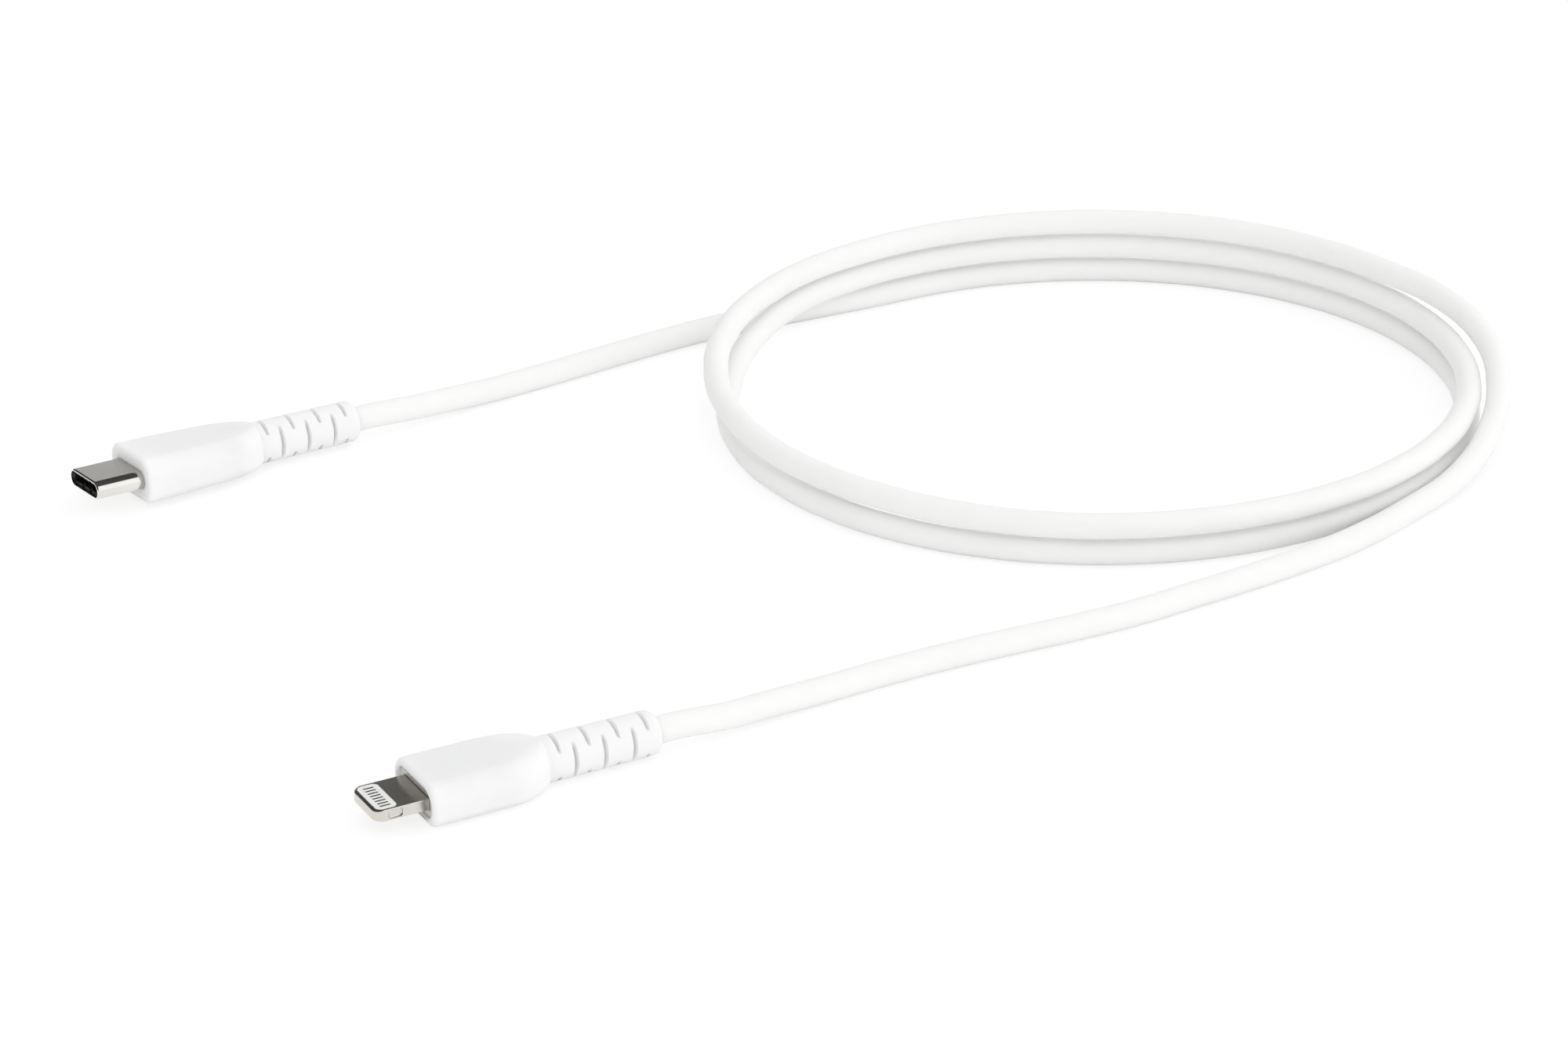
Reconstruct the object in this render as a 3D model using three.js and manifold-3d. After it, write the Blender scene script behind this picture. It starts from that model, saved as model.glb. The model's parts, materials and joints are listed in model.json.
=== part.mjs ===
// A white charging and data cable, coiled on a table: a hollow shell plug on one end, a flat tab plug
// on the other, and a metre of round cable between them. Millimetres, +Z up, the table is z = 0.
// Each plug is built lying along its own X axis, tip at x = 0, cable leaving towards +X, and is then
// laid on the table by its group.
import * as THREE from 'three';
import { mergeVertices } from 'three/addons/utils/BufferGeometryUtils.js';
import Module from 'manifold-3d';

const wasm = await Module();
wasm.setup();

// ---- driving dimensions -------------------------------------------------------------------------

const fit = 0.05;               // clearance between pieces that seat in each other
const cableGap = 0.3;           // gap between two lengths of cable that meet end to end
const cableInset = 1.2;         // the free cable starts this far inside the strain relief

const cable = {
  diameter: 3.3,
  jacketWall: 0.55,
  wire: 0.6,                    // each insulated wire
  wireGap: 0.2,                 // between the wires and the jacket round them
};

const overmould = {
  corner: 2.3,                  // corner radius of the section
  shoulder: 5.5,                // length over which the sides round over into the relief
  slope: 4.6, slopeBefore: 0.9, // the top slopes down to it over this length, and ends so much before
  reliefWall: 1.15,             // wall of the strain relief round the cable
  endWall: 1.05,                // and at its cable end
  endRound: 1.1,
  slots: 4, slotPitch: 3.8,     // slots on the top, and as many on the bottom
  slotMouth: 0.6, slotFloor: 0.4,
  slotReach: 57,                // degrees that a slot reaches round from its middle, each way
  slotWall: 0.35,               // what a slot leaves of the wall
};
const relief = cable.diameter + 2 * overmould.reliefWall;
const reliefEnd = cable.diameter + 2 * overmould.endWall;

const shell = {                 // drawn steel shell of the first plug
  width: 8.25, height: 2.4, wall: 0.25, rim: 0.1,
  exposed: 6.5, length: 11.4,
};

const block = {                 // black moulded contact carrier inside the shell
  recess: 0.35,
  cheek: 0.375,                 // wall on each side of the mouth
  mouthHeight: 0.96, mouthDepth: 5.45, mouthCorner: 0.2,
  channelWidth: 0.3, channelTop: 0.64, channelStart: 1.4,
  latchSlot: 0.3, latchSlotFrom: 0.8, latchSlotTo: 7.9, latchBaseFrom: 7.1,
  springPocketFloor: 0.74, springPocketFrom: 1.0, springPocketTo: 2.6, springPocketWidth: 5.2,
};

const latch = {                 // side fork that holds the plug in its socket
  thickness: 0.2, arm: 0.28, toShell: 0.155,
  hook: 0.38, hookAt: 1.45, hookLength: 0.3, tip: 1.0,
};

const spring = {                // grounding springs over and under the mouth
  pitch: 2.2, finger: 0.4, thickness: 0.1, plateWidth: 5.0, height: 0.81,
  bend: 0.85, dip: 0.45, dipAt: 0.62,
};

const pin = {                   // contact strips: a beam that dips into the mouth, and a tail
  pitch: 0.5, width: 0.22, thickness: 0.1, height: 0.54,
  tip: 1.5, dip: 0.27, dipAt: 1.95, tail: 0.47, tailLength: 1.0,
};
const upperPins = [1, 4, 5, 6, 7, 9, 12];
const lowerPins = [1, 4, 5, 9, 12];

const tab = {                   // flat steel frame of the second plug
  width: 6.7, thickness: 1.5, exposed: 6.7, length: 9.2,
  frontCorner: 1.2, edge: 0.2,
  windowFrom: 0.25, windowTo: 3.06, windowSide: 0.28, windowCorner: 0.8,
  notchAt: 2.45, notchLength: 1.9, notchDepth: 0.3, notchHeight: 1.0,
  tunnelSide: 0.55, tunnelHeight: 0.84,
};
const tunnelWidth = tab.width - 2 * tab.tunnelSide;

const pad = { count: 8, pitch: 0.66, width: 0.32, length: 1.46, from: 0.74, below: 0.01, room: 0.02 };
const collar = { border: 1.1, height: 3.5, thickness: 1.2, tabGap: 0.1, ring: 0.15 };
const collarWidth = tab.width + 2 * (collar.tabGap + collar.border);

const shellBoard = { from: 11.5, to: 19.8, width: shell.width - 1.05, thickness: 0.8 };
const tabBoard = { from: 0.85, step: 9.4, to: 16.6, noseGap: 0.1, width: 7.4, thickness: 0.7 };
const noseWidth = tunnelWidth - 2 * tabBoard.noseGap;
const resistor = { at: 16.5, side: 1.45, length: 1.0, width: 0.5, height: 0.35 };
const chip = { at: 12.5, side: 0, length: 2.6, width: 2.6, height: 0.7 };
const onBoard = { gap: 0.02, room: 0.1 };      // under a part on a board, and round it in the mould

const canWall = 0.2;            // sheet steel of both cans
const canToShell = 0.175;       // gap between the first can and the shell that it holds
const barrel = cable.diameter + 2 * (canWall + 2 * fit);

const shellPlug = {
  name: 'shell_plug',
  front: shell.exposed, firstSlot: 18.75, length: 32.35,
  grip: {
    width: 11.5, height: 6.1, rearWidth: 10.3, rearHeight: 5.5, frontRound: 0.55, end: 17.7,
  },
  can: {
    width: shell.width + 2 * (canToShell + canWall), height: 4.0, corner: 1.0,
    from: 10.2, to: 19.6, taper: 2.8,
  },
  mould: { from: 12.8, to: 18.9 },
  tip: [-36.48, 32.04, 3.408], yaw: 32.4, drop: 0.56, roll: -5.2,
};

const tabPlug = {
  name: 'tab_plug',
  front: tab.exposed - 0.4, firstSlot: 17.5, length: 30.9,
  grip: {
    width: 11.3, height: 5.35, rearWidth: 10.6, rearHeight: 5.6, frontRound: 0.8, end: 15.95,
  },
  can: { width: 9.2, height: 4.0, corner: 1.4, from: 8.1, to: 16.8, taper: 2.8 },
  mould: { from: 9.9, to: 15.4 },
  tip: [5.13, -52.21, 2.715], yaw: 28.8, drop: -0.25, roll: 0,
};

const coil = {
  centre: [94.18, 61.63],
  radius: 47.3, oval: 1.85, ovalTowards: 14,   // a slightly oval turn, longest 14 degrees off the X axis
  startsAt: 113, turned: 875,                  // degrees, clockwise seen from above
  layerGap: 0.43,                              // between the layers of turns
  lean: 0.35,                                  // each layer leans this far towards -Y
  firstClimb: [275, 330], secondClimb: [610, 690], drop: [805, 875],
  leftBulge: { at: 656, half: 48, by: 1.6 },   // the top turn swings out as it climbs
  frontTuck: { at: 604, half: 36, by: -0.6 },  // and tucks in just before
  swingOut: { from: 791, to: 833, gap: 0.6 },  // and comes down outside the others
  stepsPerTurn: 24, sides: 6,
};

// Points that the straight-lying cable passes through, chosen by eye; its ends come from the pieces
// that it meets.
const shellLead = [
  [2.98, 57.33, 2.6], [7.88, 61.13, 2.15], [13.38, 65.23, 1.75], [20.38, 70.33, 1.65], [27.88, 75.93, 1.65],
  [35.88, 81.83, 1.65], [42.38, 86.13, 1.65], [49.38, 90.03, 1.65], [56.88, 93.73, 1.65], [63.88, 97.23, 1.65],
];
const tabLead = [
  [123.88, 19.33, 1.65], [117.38, 13.93, 1.65], [110.38, 8.83, 1.65], [102.88, 3.83, 1.65], [95.38, -1.07, 1.65],
  [87.88, -5.07, 1.65], [80.38, -8.67, 1.65], [72.38, -12.67, 1.65], [64.38, -17.17, 1.65], [56.88, -21.87, 1.7],
  [50.88, -25.91, 2.02], [45.88, -29.56, 2.35],
];
const leadSides = 8;
const leadStep = 2.6;           // one step of the tube, in cable diameters

// ---- materials ----------------------------------------------------------------------------------

const finish = (color, roughness, metalness = 0) =>
  new THREE.MeshStandardMaterial({ color, roughness, metalness });
const whiteRubber = () => finish(0xf1f1f0, 0.5);
const nickel = () => finish(0xb9b5ad, 0.12, 1);
const steel = () => finish(0xa8a49c, 0.25, 1);
const gold = () => finish(0xc9a860, 0.25, 1);
const blackPlastic = () => finish(0x151515, 0.5);
const whitePlastic = () => finish(0xf4f4f2, 0.35);
const greenBoard = () => finish(0x1d5a34, 0.45);
const wireColours = { red: 0xb0201c, white: 0xe8e8e4, green: 0x1f7a3a, black: 0x1a1a1a };

// ---- geometry helpers ---------------------------------------------------------------------------

const smooth = (t) => {
  const c = Math.min(1, Math.max(0, t));
  return c * c * (3 - 2 * c);
};
const ramp = (value, [from, to]) => smooth((value - from) / (to - from));
const lerp = (a, b, t) => a + (b - a) * t;
const between = (p, q) => [Math.min(p, q), Math.max(p, q)];
const vec = (p) => new THREE.Vector3(...p);

function solid(geometry) {
  const bare = geometry.clone();
  bare.deleteAttribute('normal');
  bare.deleteAttribute('uv');
  const merged = mergeVertices(bare, 1e-4);
  return new wasm.Manifold(new wasm.Mesh({
    numProp: 3,
    vertProperties: new Float32Array(merged.attributes.position.array),
    triVerts: new Uint32Array(merged.index.array),
  }));
}

function geometryOf(manifold) {
  const mesh = manifold.getMesh();
  const geometry = new THREE.BufferGeometry();
  geometry.setAttribute('position', new THREE.BufferAttribute(mesh.vertProperties, 3));
  geometry.setIndex(new THREE.BufferAttribute(mesh.triVerts, 1));
  geometry.computeVertexNormals();
  return geometry;
}

function cut(geometry, cutters) {
  return geometryOf(cutters.reduce((left, cutter) => left.subtract(solid(cutter)), solid(geometry)));
}

// Skin over a row of rings with equal counts; each ring runs anticlockwise seen from +X.
// A closed row joins its last ring to its first, as the wall of a tube does.
function loft(rings, closed = false) {
  const count = rings[0].length;
  const positions = rings.flat().flatMap((p) => [p.x, p.y, p.z]);
  const index = [];
  const last = closed ? rings.length : rings.length - 1;
  for (let k = 0; k < last; k += 1) {
    const a = k * count;
    const b = ((k + 1) % rings.length) * count;
    for (let i = 0; i < count; i += 1) {
      const j = (i + 1) % count;
      index.push(a + i, a + j, b + i, a + j, b + j, b + i);
    }
  }
  if (!closed) {
    for (const [ring, outward] of [[0, -1], [rings.length - 1, 1]]) {
      for (let i = 1; i < count - 1; i += 1) {
        const [p, q] = outward > 0 ? [i, i + 1] : [i + 1, i];
        index.push(ring * count, ring * count + p, ring * count + q);
      }
    }
  }
  const geometry = new THREE.BufferGeometry();
  geometry.setAttribute('position', new THREE.Float32BufferAttribute(positions, 3));
  geometry.setIndex(index);
  geometry.computeVertexNormals();
  return geometry;
}

// A rounded rectangle across the plug at station x; with radius at half its height it is an oval.
function ring(x, width, height, radius, cornerSteps = 5) {
  const r = Math.min(radius, width / 2 - 1e-3, height / 2 - 1e-3);
  const points = [];
  const corners = [[1, 1], [-1, 1], [-1, -1], [1, -1]];
  corners.forEach(([sy, sz], corner) => {
    for (let k = 0; k <= cornerSteps; k += 1) {
      const a = ((corner + k / cornerSteps) * Math.PI) / 2;
      points.push(new THREE.Vector3(
        x, sy * (width / 2 - r) + r * Math.cos(a), sz * (height / 2 - r) + r * Math.sin(a)));
    }
  });
  return points;
}

function bar(x0, x1, y0, y1, z0, z1) {
  return new THREE.BoxGeometry(x1 - x0, y1 - y0, z1 - z0)
    .translate((x0 + x1) / 2, (y0 + y1) / 2, (z0 + z1) / 2);
}

const centredBar = (x0, x1, width, height) => bar(x0, x1, -width / 2, width / 2, -height / 2, height / 2);

function tubeAlongX(x0, x1, outer, inner, segments = 24) {
  const profile = [[inner, x0], [outer, x0], [outer, x1], [inner, x1], [inner, x0]];
  return new THREE.LatheGeometry(profile.map(([r, x]) => new THREE.Vector2(r, x)), segments)
    .rotateZ(-Math.PI / 2);
}

function rodAlongX(x0, x1, radius, segments = 24) {
  return new THREE.CylinderGeometry(radius, radius, x1 - x0, segments)
    .rotateZ(-Math.PI / 2)
    .translate((x0 + x1) / 2, 0, 0);
}

// Outline in X and Z, given its width across the plug and centred on y.
function acrossY(shape, width, y) {
  return new THREE.ExtrudeGeometry(shape, { depth: width, bevelEnabled: false })
    .rotateX(Math.PI / 2)
    .translate(0, y + width / 2, 0);
}

// Outline in X and Y, given its thickness upwards from z.
function upwards(shape, z, thickness, curveSegments = 6) {
  return new THREE.ExtrudeGeometry(shape, { depth: thickness, bevelEnabled: false, curveSegments })
    .translate(0, 0, z);
}

// Outline of a bent strip: its centre line given a thickness.
function stripShape(points, thickness) {
  const line = points.map(([x, z]) => new THREE.Vector2(x, z));
  const side = (sign) => line.map((p, i) => {
    const before = line[Math.max(i - 1, 0)];
    const after = line[Math.min(i + 1, line.length - 1)];
    const d1 = p.clone().sub(before);
    const d2 = after.clone().sub(p);
    const n1 = (i ? d1 : d2).clone().normalize();
    const n2 = (i < line.length - 1 ? d2 : d1).clone().normalize();
    const mid = n1.clone().add(n2).normalize();
    const reach = thickness / 2 / Math.max(0.5, mid.dot(n1));
    return new THREE.Vector2(p.x - sign * mid.y * reach, p.y + sign * mid.x * reach);
  });
  return new THREE.Shape([...side(1), ...side(-1).reverse()]);
}

function roundedRectangle(x0, x1, y0, y1, radius) {
  const shape = new THREE.Shape();
  shape.moveTo(x0 + radius, y0);
  shape.lineTo(x1 - radius, y0);
  shape.absarc(x1 - radius, y0 + radius, radius, -Math.PI / 2, 0);
  shape.lineTo(x1, y1 - radius);
  shape.absarc(x1 - radius, y1 - radius, radius, 0, Math.PI / 2);
  shape.lineTo(x0 + radius, y1);
  shape.absarc(x0 + radius, y1 - radius, radius, Math.PI / 2, Math.PI);
  shape.lineTo(x0, y0 + radius);
  shape.absarc(x0 + radius, y0 + radius, radius, Math.PI, Math.PI * 1.5);
  return shape;
}

function regularSection(radius, sides) {
  const turn = Math.PI / sides;
  const corners = Array.from({ length: sides }, (_, i) => {
    const a = turn + (i * 2 * Math.PI) / sides;
    return new THREE.Vector2(radius * Math.cos(a), radius * Math.sin(a));
  });
  return new THREE.Shape(corners);
}

function tubeAlong(points, diameter, sides, steps) {
  const path = new THREE.CatmullRomCurve3(points, false, 'centripetal');
  return new THREE.ExtrudeGeometry(regularSection(diameter / 2, sides), { extrudePath: path, steps });
}

const group = new THREE.Group();

function add(parent, name, geometry, material) {
  const mesh = new THREE.Mesh(geometry, material);
  mesh.name = name;
  parent.add(mesh);
}

// ---- the moulded grip and its slotted strain relief ---------------------------------------------

const plugEnd = (plug) => plug.front + plug.length;
const quarterRound = (radius, t) =>
  radius - Math.sqrt(radius ** 2 - (radius - Math.min(t, radius)) ** 2);

function gripRing(plug, s) {
  const m = overmould;
  const g = plug.grip;
  const u = Math.min(1, Math.max(0, 1 - (g.end - s) / m.shoulder));
  const wide = (1 - u * u) ** 0.6;
  const slopeEnd = g.end - m.slopeBefore;
  const high = 1 - ramp(s, [slopeEnd - m.slope, slopeEnd]);
  const along = Math.min(1, s / (g.end - m.shoulder / 2));
  const tail = Math.max(0, (s - g.end) / (plug.length - g.end));
  const round = lerp(relief, reliefEnd, tail);
  const width = lerp(round, lerp(g.width, g.rearWidth, along ** 2), wide);
  const height = lerp(round, lerp(g.height, g.rearHeight, along), high);
  const corner = lerp(relief / 2, m.corner, wide);
  const inset = quarterRound(g.frontRound, s) + quarterRound(m.endRound, plug.length - s);
  return ring(plug.front + s, width - 2 * inset, height - 2 * inset, Math.max(corner - inset, 0.6), 7);
}

function gripStations(plug) {
  const m = overmould;
  const g = plug.grip;
  const start = g.end - m.shoulder;
  const round = [0, 0.15, 0.45, 1].map((t) => t * g.frontRound);
  const body = [0.35, 0.7, 1].map((t) => lerp(g.frontRound, start, t));
  const shoulder = [0.15, 0.3, 0.45, 0.6, 0.74, 0.85, 0.93, 0.98, 1].map((t) => start + t * m.shoulder);
  const end = [1, 0.4, 0.12, 0].map((t) => plug.length - t * m.endRound);
  return [...round, ...body, ...shoulder, ...end];
}

// One slot across the relief, wider at its mouth than at its floor, turned about the axis. It leaves
// the wall round the cable, and runs out at both ends where its floor meets the outside.
function slotCutter(x, turn) {
  const m = overmould;
  const floor = (relief / 2) * Math.cos(THREE.MathUtils.degToRad(m.slotReach));
  const above = 2 * (relief / 2 - floor);
  const mouth = lerp(m.slotFloor, m.slotMouth, 2);
  const profile = new THREE.Shape([
    new THREE.Vector2(x - m.slotFloor / 2, floor),
    new THREE.Vector2(x + m.slotFloor / 2, floor),
    new THREE.Vector2(x + mouth / 2, floor + above),
    new THREE.Vector2(x - mouth / 2, floor + above),
  ]);
  const wall = rodAlongX(x - mouth, x + mouth, cable.diameter / 2 + m.slotWall, 32);
  return cut(acrossY(profile, relief + 1, 0), [wall]).rotateX(turn);
}

function reliefSlots(plug) {
  const m = overmould;
  const cutters = [];
  for (let k = 0; k < m.slots; k += 1) {
    const x = plug.front + plug.firstSlot + k * m.slotPitch;
    cutters.push(slotCutter(x, 0), slotCutter(x, Math.PI));
    if (k < m.slots - 1) {
      const midway = x + m.slotPitch / 2;
      cutters.push(slotCutter(midway, Math.PI / 2), slotCutter(midway, -Math.PI / 2));
    }
  }
  return cutters;
}

// ---- the sheet can that is crimped round the board, and what it holds ---------------------------

const barrelEnd = (plug) => plug.front + plug.firstSlot - overmould.slotMouth / 2 - 0.3;

function canRings(plug, grow) {
  const c = plug.can;
  const size = (x, w, h, r) => ring(x, w + 2 * grow, h + 2 * grow, r + grow, 4);
  return [
    size(c.from, c.width, c.height, c.corner),
    size(c.to, c.width, c.height, c.corner),
    size(c.to + c.taper * 0.6, lerp(c.width, barrel, 0.75), barrel, barrel / 2),
    size(c.to + c.taper, barrel, barrel, barrel / 2),
    size(barrelEnd(plug), barrel, barrel, barrel / 2),
  ];
}

function buildOvermould(plug, openings) {
  const bore = rodAlongX(plug.can.to, plugEnd(plug) + 1, cable.diameter / 2 + fit);
  const grip = loft(gripStations(plug).map((s) => gripRing(plug, s)));
  return cut(grip, [loft(canRings(plug, fit)), bore, ...openings, ...reliefSlots(plug)]);
}

function buildCan(plug) {
  return loft([...canRings(plug, 0), ...canRings(plug, -canWall).reverse()], true);
}

function buildInnerMould(plug, board, pockets) {
  const c = plug.can;
  const inset = 2 * (canWall + fit);
  const section = (x) => ring(x, c.width - inset, c.height - inset, c.corner - canWall, 4);
  const boardSlot = centredBar(
    plug.mould.from - 1, plug.mould.to + 1, board.width + 2 * fit, board.thickness + 2 * fit);
  return cut(loft([section(plug.mould.from), section(plug.mould.to)]), [boardSlot, ...pockets]);
}

// A small part on top of a board or, with room given, the pocket that clears it.
function partOnBoard(part, board, room = 0) {
  const top = board.thickness / 2;
  const floor = room ? 0 : top + onBoard.gap;
  return bar(part.at - part.length / 2 - room, part.at + part.length / 2 + room,
    part.side - part.width / 2 - room, part.side + part.width / 2 + room,
    floor, top + onBoard.gap + part.height + room);
}

function addWires(parent, plug, board) {
  const rest = board.thickness / 2 + cable.wire / 2 + fit;
  const jacketInside = cable.diameter / 2 - cable.jacketWall;
  const spread = (jacketInside - cable.wire / 2 - cable.wireGap) / Math.SQRT2;
  const meets = [[-spread, spread], [-spread, -spread], [spread, -spread], [spread, spread]];
  const neck = plug.can.to + plug.can.taper;
  Object.entries(wireColours).forEach(([colour, hex], i) => {
    const y = (i - 1.5) * 1.2;
    const [endY, endZ] = meets[i];
    const path = [[plug.mould.to + 0.2, y, rest], [board.to + 0.4, y, rest],
      [neck + 0.3, endY, endZ], [neck + 3, endY, endZ]].map(vec);
    add(parent, `${plug.name}_wire_${colour}`, tubeAlong(path, cable.wire, 6, 10), finish(hex, 0.45));
  });
}

function addCableEnd(parent, plug) {
  const from = plug.can.to + plug.can.taper + 0.5;
  const to = plugEnd(plug) - cableInset - cableGap;
  const outer = cable.diameter / 2;
  add(parent, `${plug.name}_cable_end`, tubeAlongX(from, to, outer, outer - cable.jacketWall),
    whiteRubber());
}

// ---- the shell plug -----------------------------------------------------------------------------

const shellOval = (x, grow, steps = 8) =>
  ring(x, shell.width + 2 * grow, shell.height + 2 * grow, shell.height / 2 + grow, steps);

function buildShell() {
  const { wall, rim, length } = shell;
  const outside = [[0, -rim], [rim * 0.3, -rim * 0.3], [rim, 0], [length, 0]];
  const inside = [[length, -wall], [rim * 0.8, -wall], [0, rim * 0.6 - wall]];
  return loft([...outside, ...inside].map(([x, grow]) => shellOval(x, grow)), true);
}

const pinPlace = (number) => (6.5 - number) * pin.pitch;

function buildContactBlock() {
  const b = block;
  const body = loft([shellOval(b.recess, -shell.wall - fit), shellOval(shell.length, -shell.wall - fit)]);
  const mouthWidth = shell.width - 2 * (shell.wall + fit + b.cheek);
  const mouth = loft([b.recess - 1, b.recess + b.mouthDepth].map(
    (x) => ring(x, mouthWidth, b.mouthHeight, b.mouthCorner, 3)));
  const cutters = [mouth];
  const slotInside = mouthWidth / 2 - 0.2;
  for (const side of [-1, 1]) {
    const armRoom = between(side * slotInside, (side * shell.width) / 2);
    cutters.push(bar(b.latchSlotFrom, b.latchSlotTo, ...armRoom, -b.latchSlot / 2, b.latchSlot / 2));
    const floor = between(side * b.springPocketFloor, (side * shell.height) / 2);
    const half = b.springPocketWidth / 2;
    cutters.push(bar(b.springPocketFrom, b.springPocketTo, -half, half, ...floor));
    const fingerRoom = spring.finger / 2 + 2 * fit;
    for (const way of [-1, 1]) {
      const y = way * spring.pitch / 2;
      const window = between(side * 0.3, (side * shell.height) / 2);
      cutters.push(bar(0, b.springPocketFrom + fit, y - fingerRoom, y + fingerRoom, ...window));
    }
  }
  cutters.push(centredBar(b.latchBaseFrom, b.latchSlotTo, shell.width, b.latchSlot));
  for (const [pins, side] of [[upperPins, 1], [lowerPins, -1]]) {
    for (const number of pins) {
      const y = pinPlace(number);
      const half = b.channelWidth / 2;
      const run = between(side * (pin.height - pin.thickness), side * b.channelTop);
      cutters.push(bar(b.channelStart, shell.length + 1, y - half, y + half, ...run));
    }
  }
  return cut(body, cutters);
}

// A contact spring: a long beam in its channel that dips into the mouth, and a tail on the board.
function buildPin(number, side) {
  const beamRoot = block.recess + block.mouthDepth - 0.2;
  const rise = pin.height - pin.dip;
  const line = [[pin.tip, pin.dip + 0.8 * rise], [pin.dipAt, pin.dip],
    [pin.dipAt + 0.4, pin.dip + 0.2 * rise], [beamRoot, pin.height],
    [shell.length + 0.1, pin.height], [shell.length + 0.5, pin.tail],
    [shellBoard.from + pin.tailLength, pin.tail]];
  const shape = stripShape(line.map(([x, z]) => [x, side * z]), pin.thickness);
  return acrossY(shape, pin.width, pinPlace(number));
}

// The side latch: one flat fork with a hooked arm down each side of the mouth.
function buildLatch() {
  const l = latch;
  const outer = shell.width / 2 - shell.wall - l.toShell;
  const inner = outer - l.arm;
  const base = [block.latchBaseFrom + 2 * fit, block.latchSlotTo - 2 * fit];
  const half = [[base[1], outer], [l.tip + 0.1, outer], [l.tip, outer - 0.1],
    [l.hookAt - l.hookLength / 2, inner - l.hook], [l.hookAt + l.hookLength / 2, inner - l.hook],
    [l.hookAt + 1, inner], [base[0], inner]];
  const other = half.slice().reverse().map(([x, y]) => [x, -y]);
  const outline = [...half, ...other].map(([x, y]) => new THREE.Vector2(x, y));
  return upwards(new THREE.Shape(outline), -l.thickness / 2, l.thickness);
}

// A grounding spring: a plate under the shell with two fingers bent round the edge of the mouth.
function buildGroundSpring(side) {
  const s = spring;
  const z = side * s.height;
  const plate = bar(block.springPocketFrom + 2 * fit, block.springPocketTo - 2 * fit,
    -s.plateWidth / 2, s.plateWidth / 2, z - s.thickness / 2, z + s.thickness / 2);
  const line = [[block.springPocketFrom + 0.5, z], [s.bend, z], [s.dipAt - 0.12, side * (s.dip + 0.12)],
    [s.dipAt, side * s.dip], [s.dipAt + 0.18, side * (s.dip + 0.05)]];
  const fingers = [-1, 1].map((way) => acrossY(stripShape(line, s.thickness), s.finger, way * s.pitch / 2));
  return geometryOf(fingers.reduce((all, finger) => all.add(solid(finger)), solid(plate)));
}

function buildShellPlug() {
  const plug = new THREE.Group();
  const n = shellPlug.name;
  add(plug, `${n}_shell`, buildShell(), nickel());
  add(plug, `${n}_contact_block`, buildContactBlock(), blackPlastic());
  add(plug, `${n}_latch_spring`, buildLatch(), steel());
  add(plug, `${n}_ground_spring_upper`, buildGroundSpring(1), steel());
  add(plug, `${n}_ground_spring_lower`, buildGroundSpring(-1), steel());
  upperPins.forEach((number) => add(plug, `${n}_contact_a${number}`, buildPin(number, 1), gold()));
  lowerPins.forEach((number) => add(plug, `${n}_contact_b${number}`, buildPin(number, -1), gold()));

  const b = shellBoard;
  add(plug, `${n}_board`, centredBar(b.from, b.to, b.width, b.thickness), greenBoard());
  add(plug, `${n}_resistor`, partOnBoard(resistor, b), blackPlastic());
  const pocket = partOnBoard(resistor, b, onBoard.room);
  add(plug, `${n}_inner_mould`, buildInnerMould(shellPlug, b, [pocket]), whitePlastic());
  add(plug, `${n}_can`, buildCan(shellPlug), steel());
  addWires(plug, shellPlug, b);
  addCableEnd(plug, shellPlug);
  const opening = loft([shellOval(0, fit), shellOval(shellPlug.can.from + 1, fit)]);
  add(plug, `${n}_overmould`, buildOvermould(shellPlug, [opening]), whiteRubber());
  return plug;
}

// ---- the tab plug -------------------------------------------------------------------------------

const windowHalf = tab.width / 2 - tab.windowSide;

function tabOutline() {
  const { width, length, frontCorner: r } = tab;
  const outline = new THREE.Shape();
  outline.moveTo(length, -width / 2);
  outline.lineTo(length, width / 2);
  outline.lineTo(r, width / 2);
  outline.absarc(r, width / 2 - r, r, Math.PI / 2, Math.PI);
  outline.lineTo(0, -width / 2 + r);
  outline.absarc(r, -width / 2 + r, r, Math.PI, Math.PI * 1.5);
  return outline;
}

function buildTabFrame() {
  const t = tab;
  const body = new THREE.ExtrudeGeometry(tabOutline(), {
    depth: t.thickness - 2 * t.edge, bevelThickness: t.edge, bevelSize: t.edge, bevelOffset: -t.edge,
    bevelSegments: 3, curveSegments: 8,
  }).translate(0, 0, t.edge - t.thickness / 2);
  const window = upwards(
    roundedRectangle(t.windowFrom, t.windowTo, -windowHalf, windowHalf, t.windowCorner), -2, 4);
  const tunnel = centredBar(t.windowTo - 0.5, t.length + 1, tunnelWidth, t.tunnelHeight);
  const notchRadius = ((t.notchLength / 2) ** 2 + t.notchDepth ** 2) / (2 * t.notchDepth);
  const notches = [-1, 1].map((side) =>
    new THREE.CylinderGeometry(notchRadius, notchRadius, t.notchHeight, 40)
      .rotateX(Math.PI / 2)
      .translate(t.notchAt, side * (t.width / 2 - t.notchDepth + notchRadius), 0));
  return cut(body, [window, tunnel, ...notches]);
}

const padPlace = (k) => ((pad.count - 1) / 2 - k) * pad.pitch;
const padCurveSteps = 2;

function padShape(k, grow) {
  const half = pad.width / 2 + grow;
  return roundedRectangle(
    pad.from - grow, pad.from + pad.length + grow, padPlace(k) - half, padPlace(k) + half, half * 0.9);
}

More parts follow.
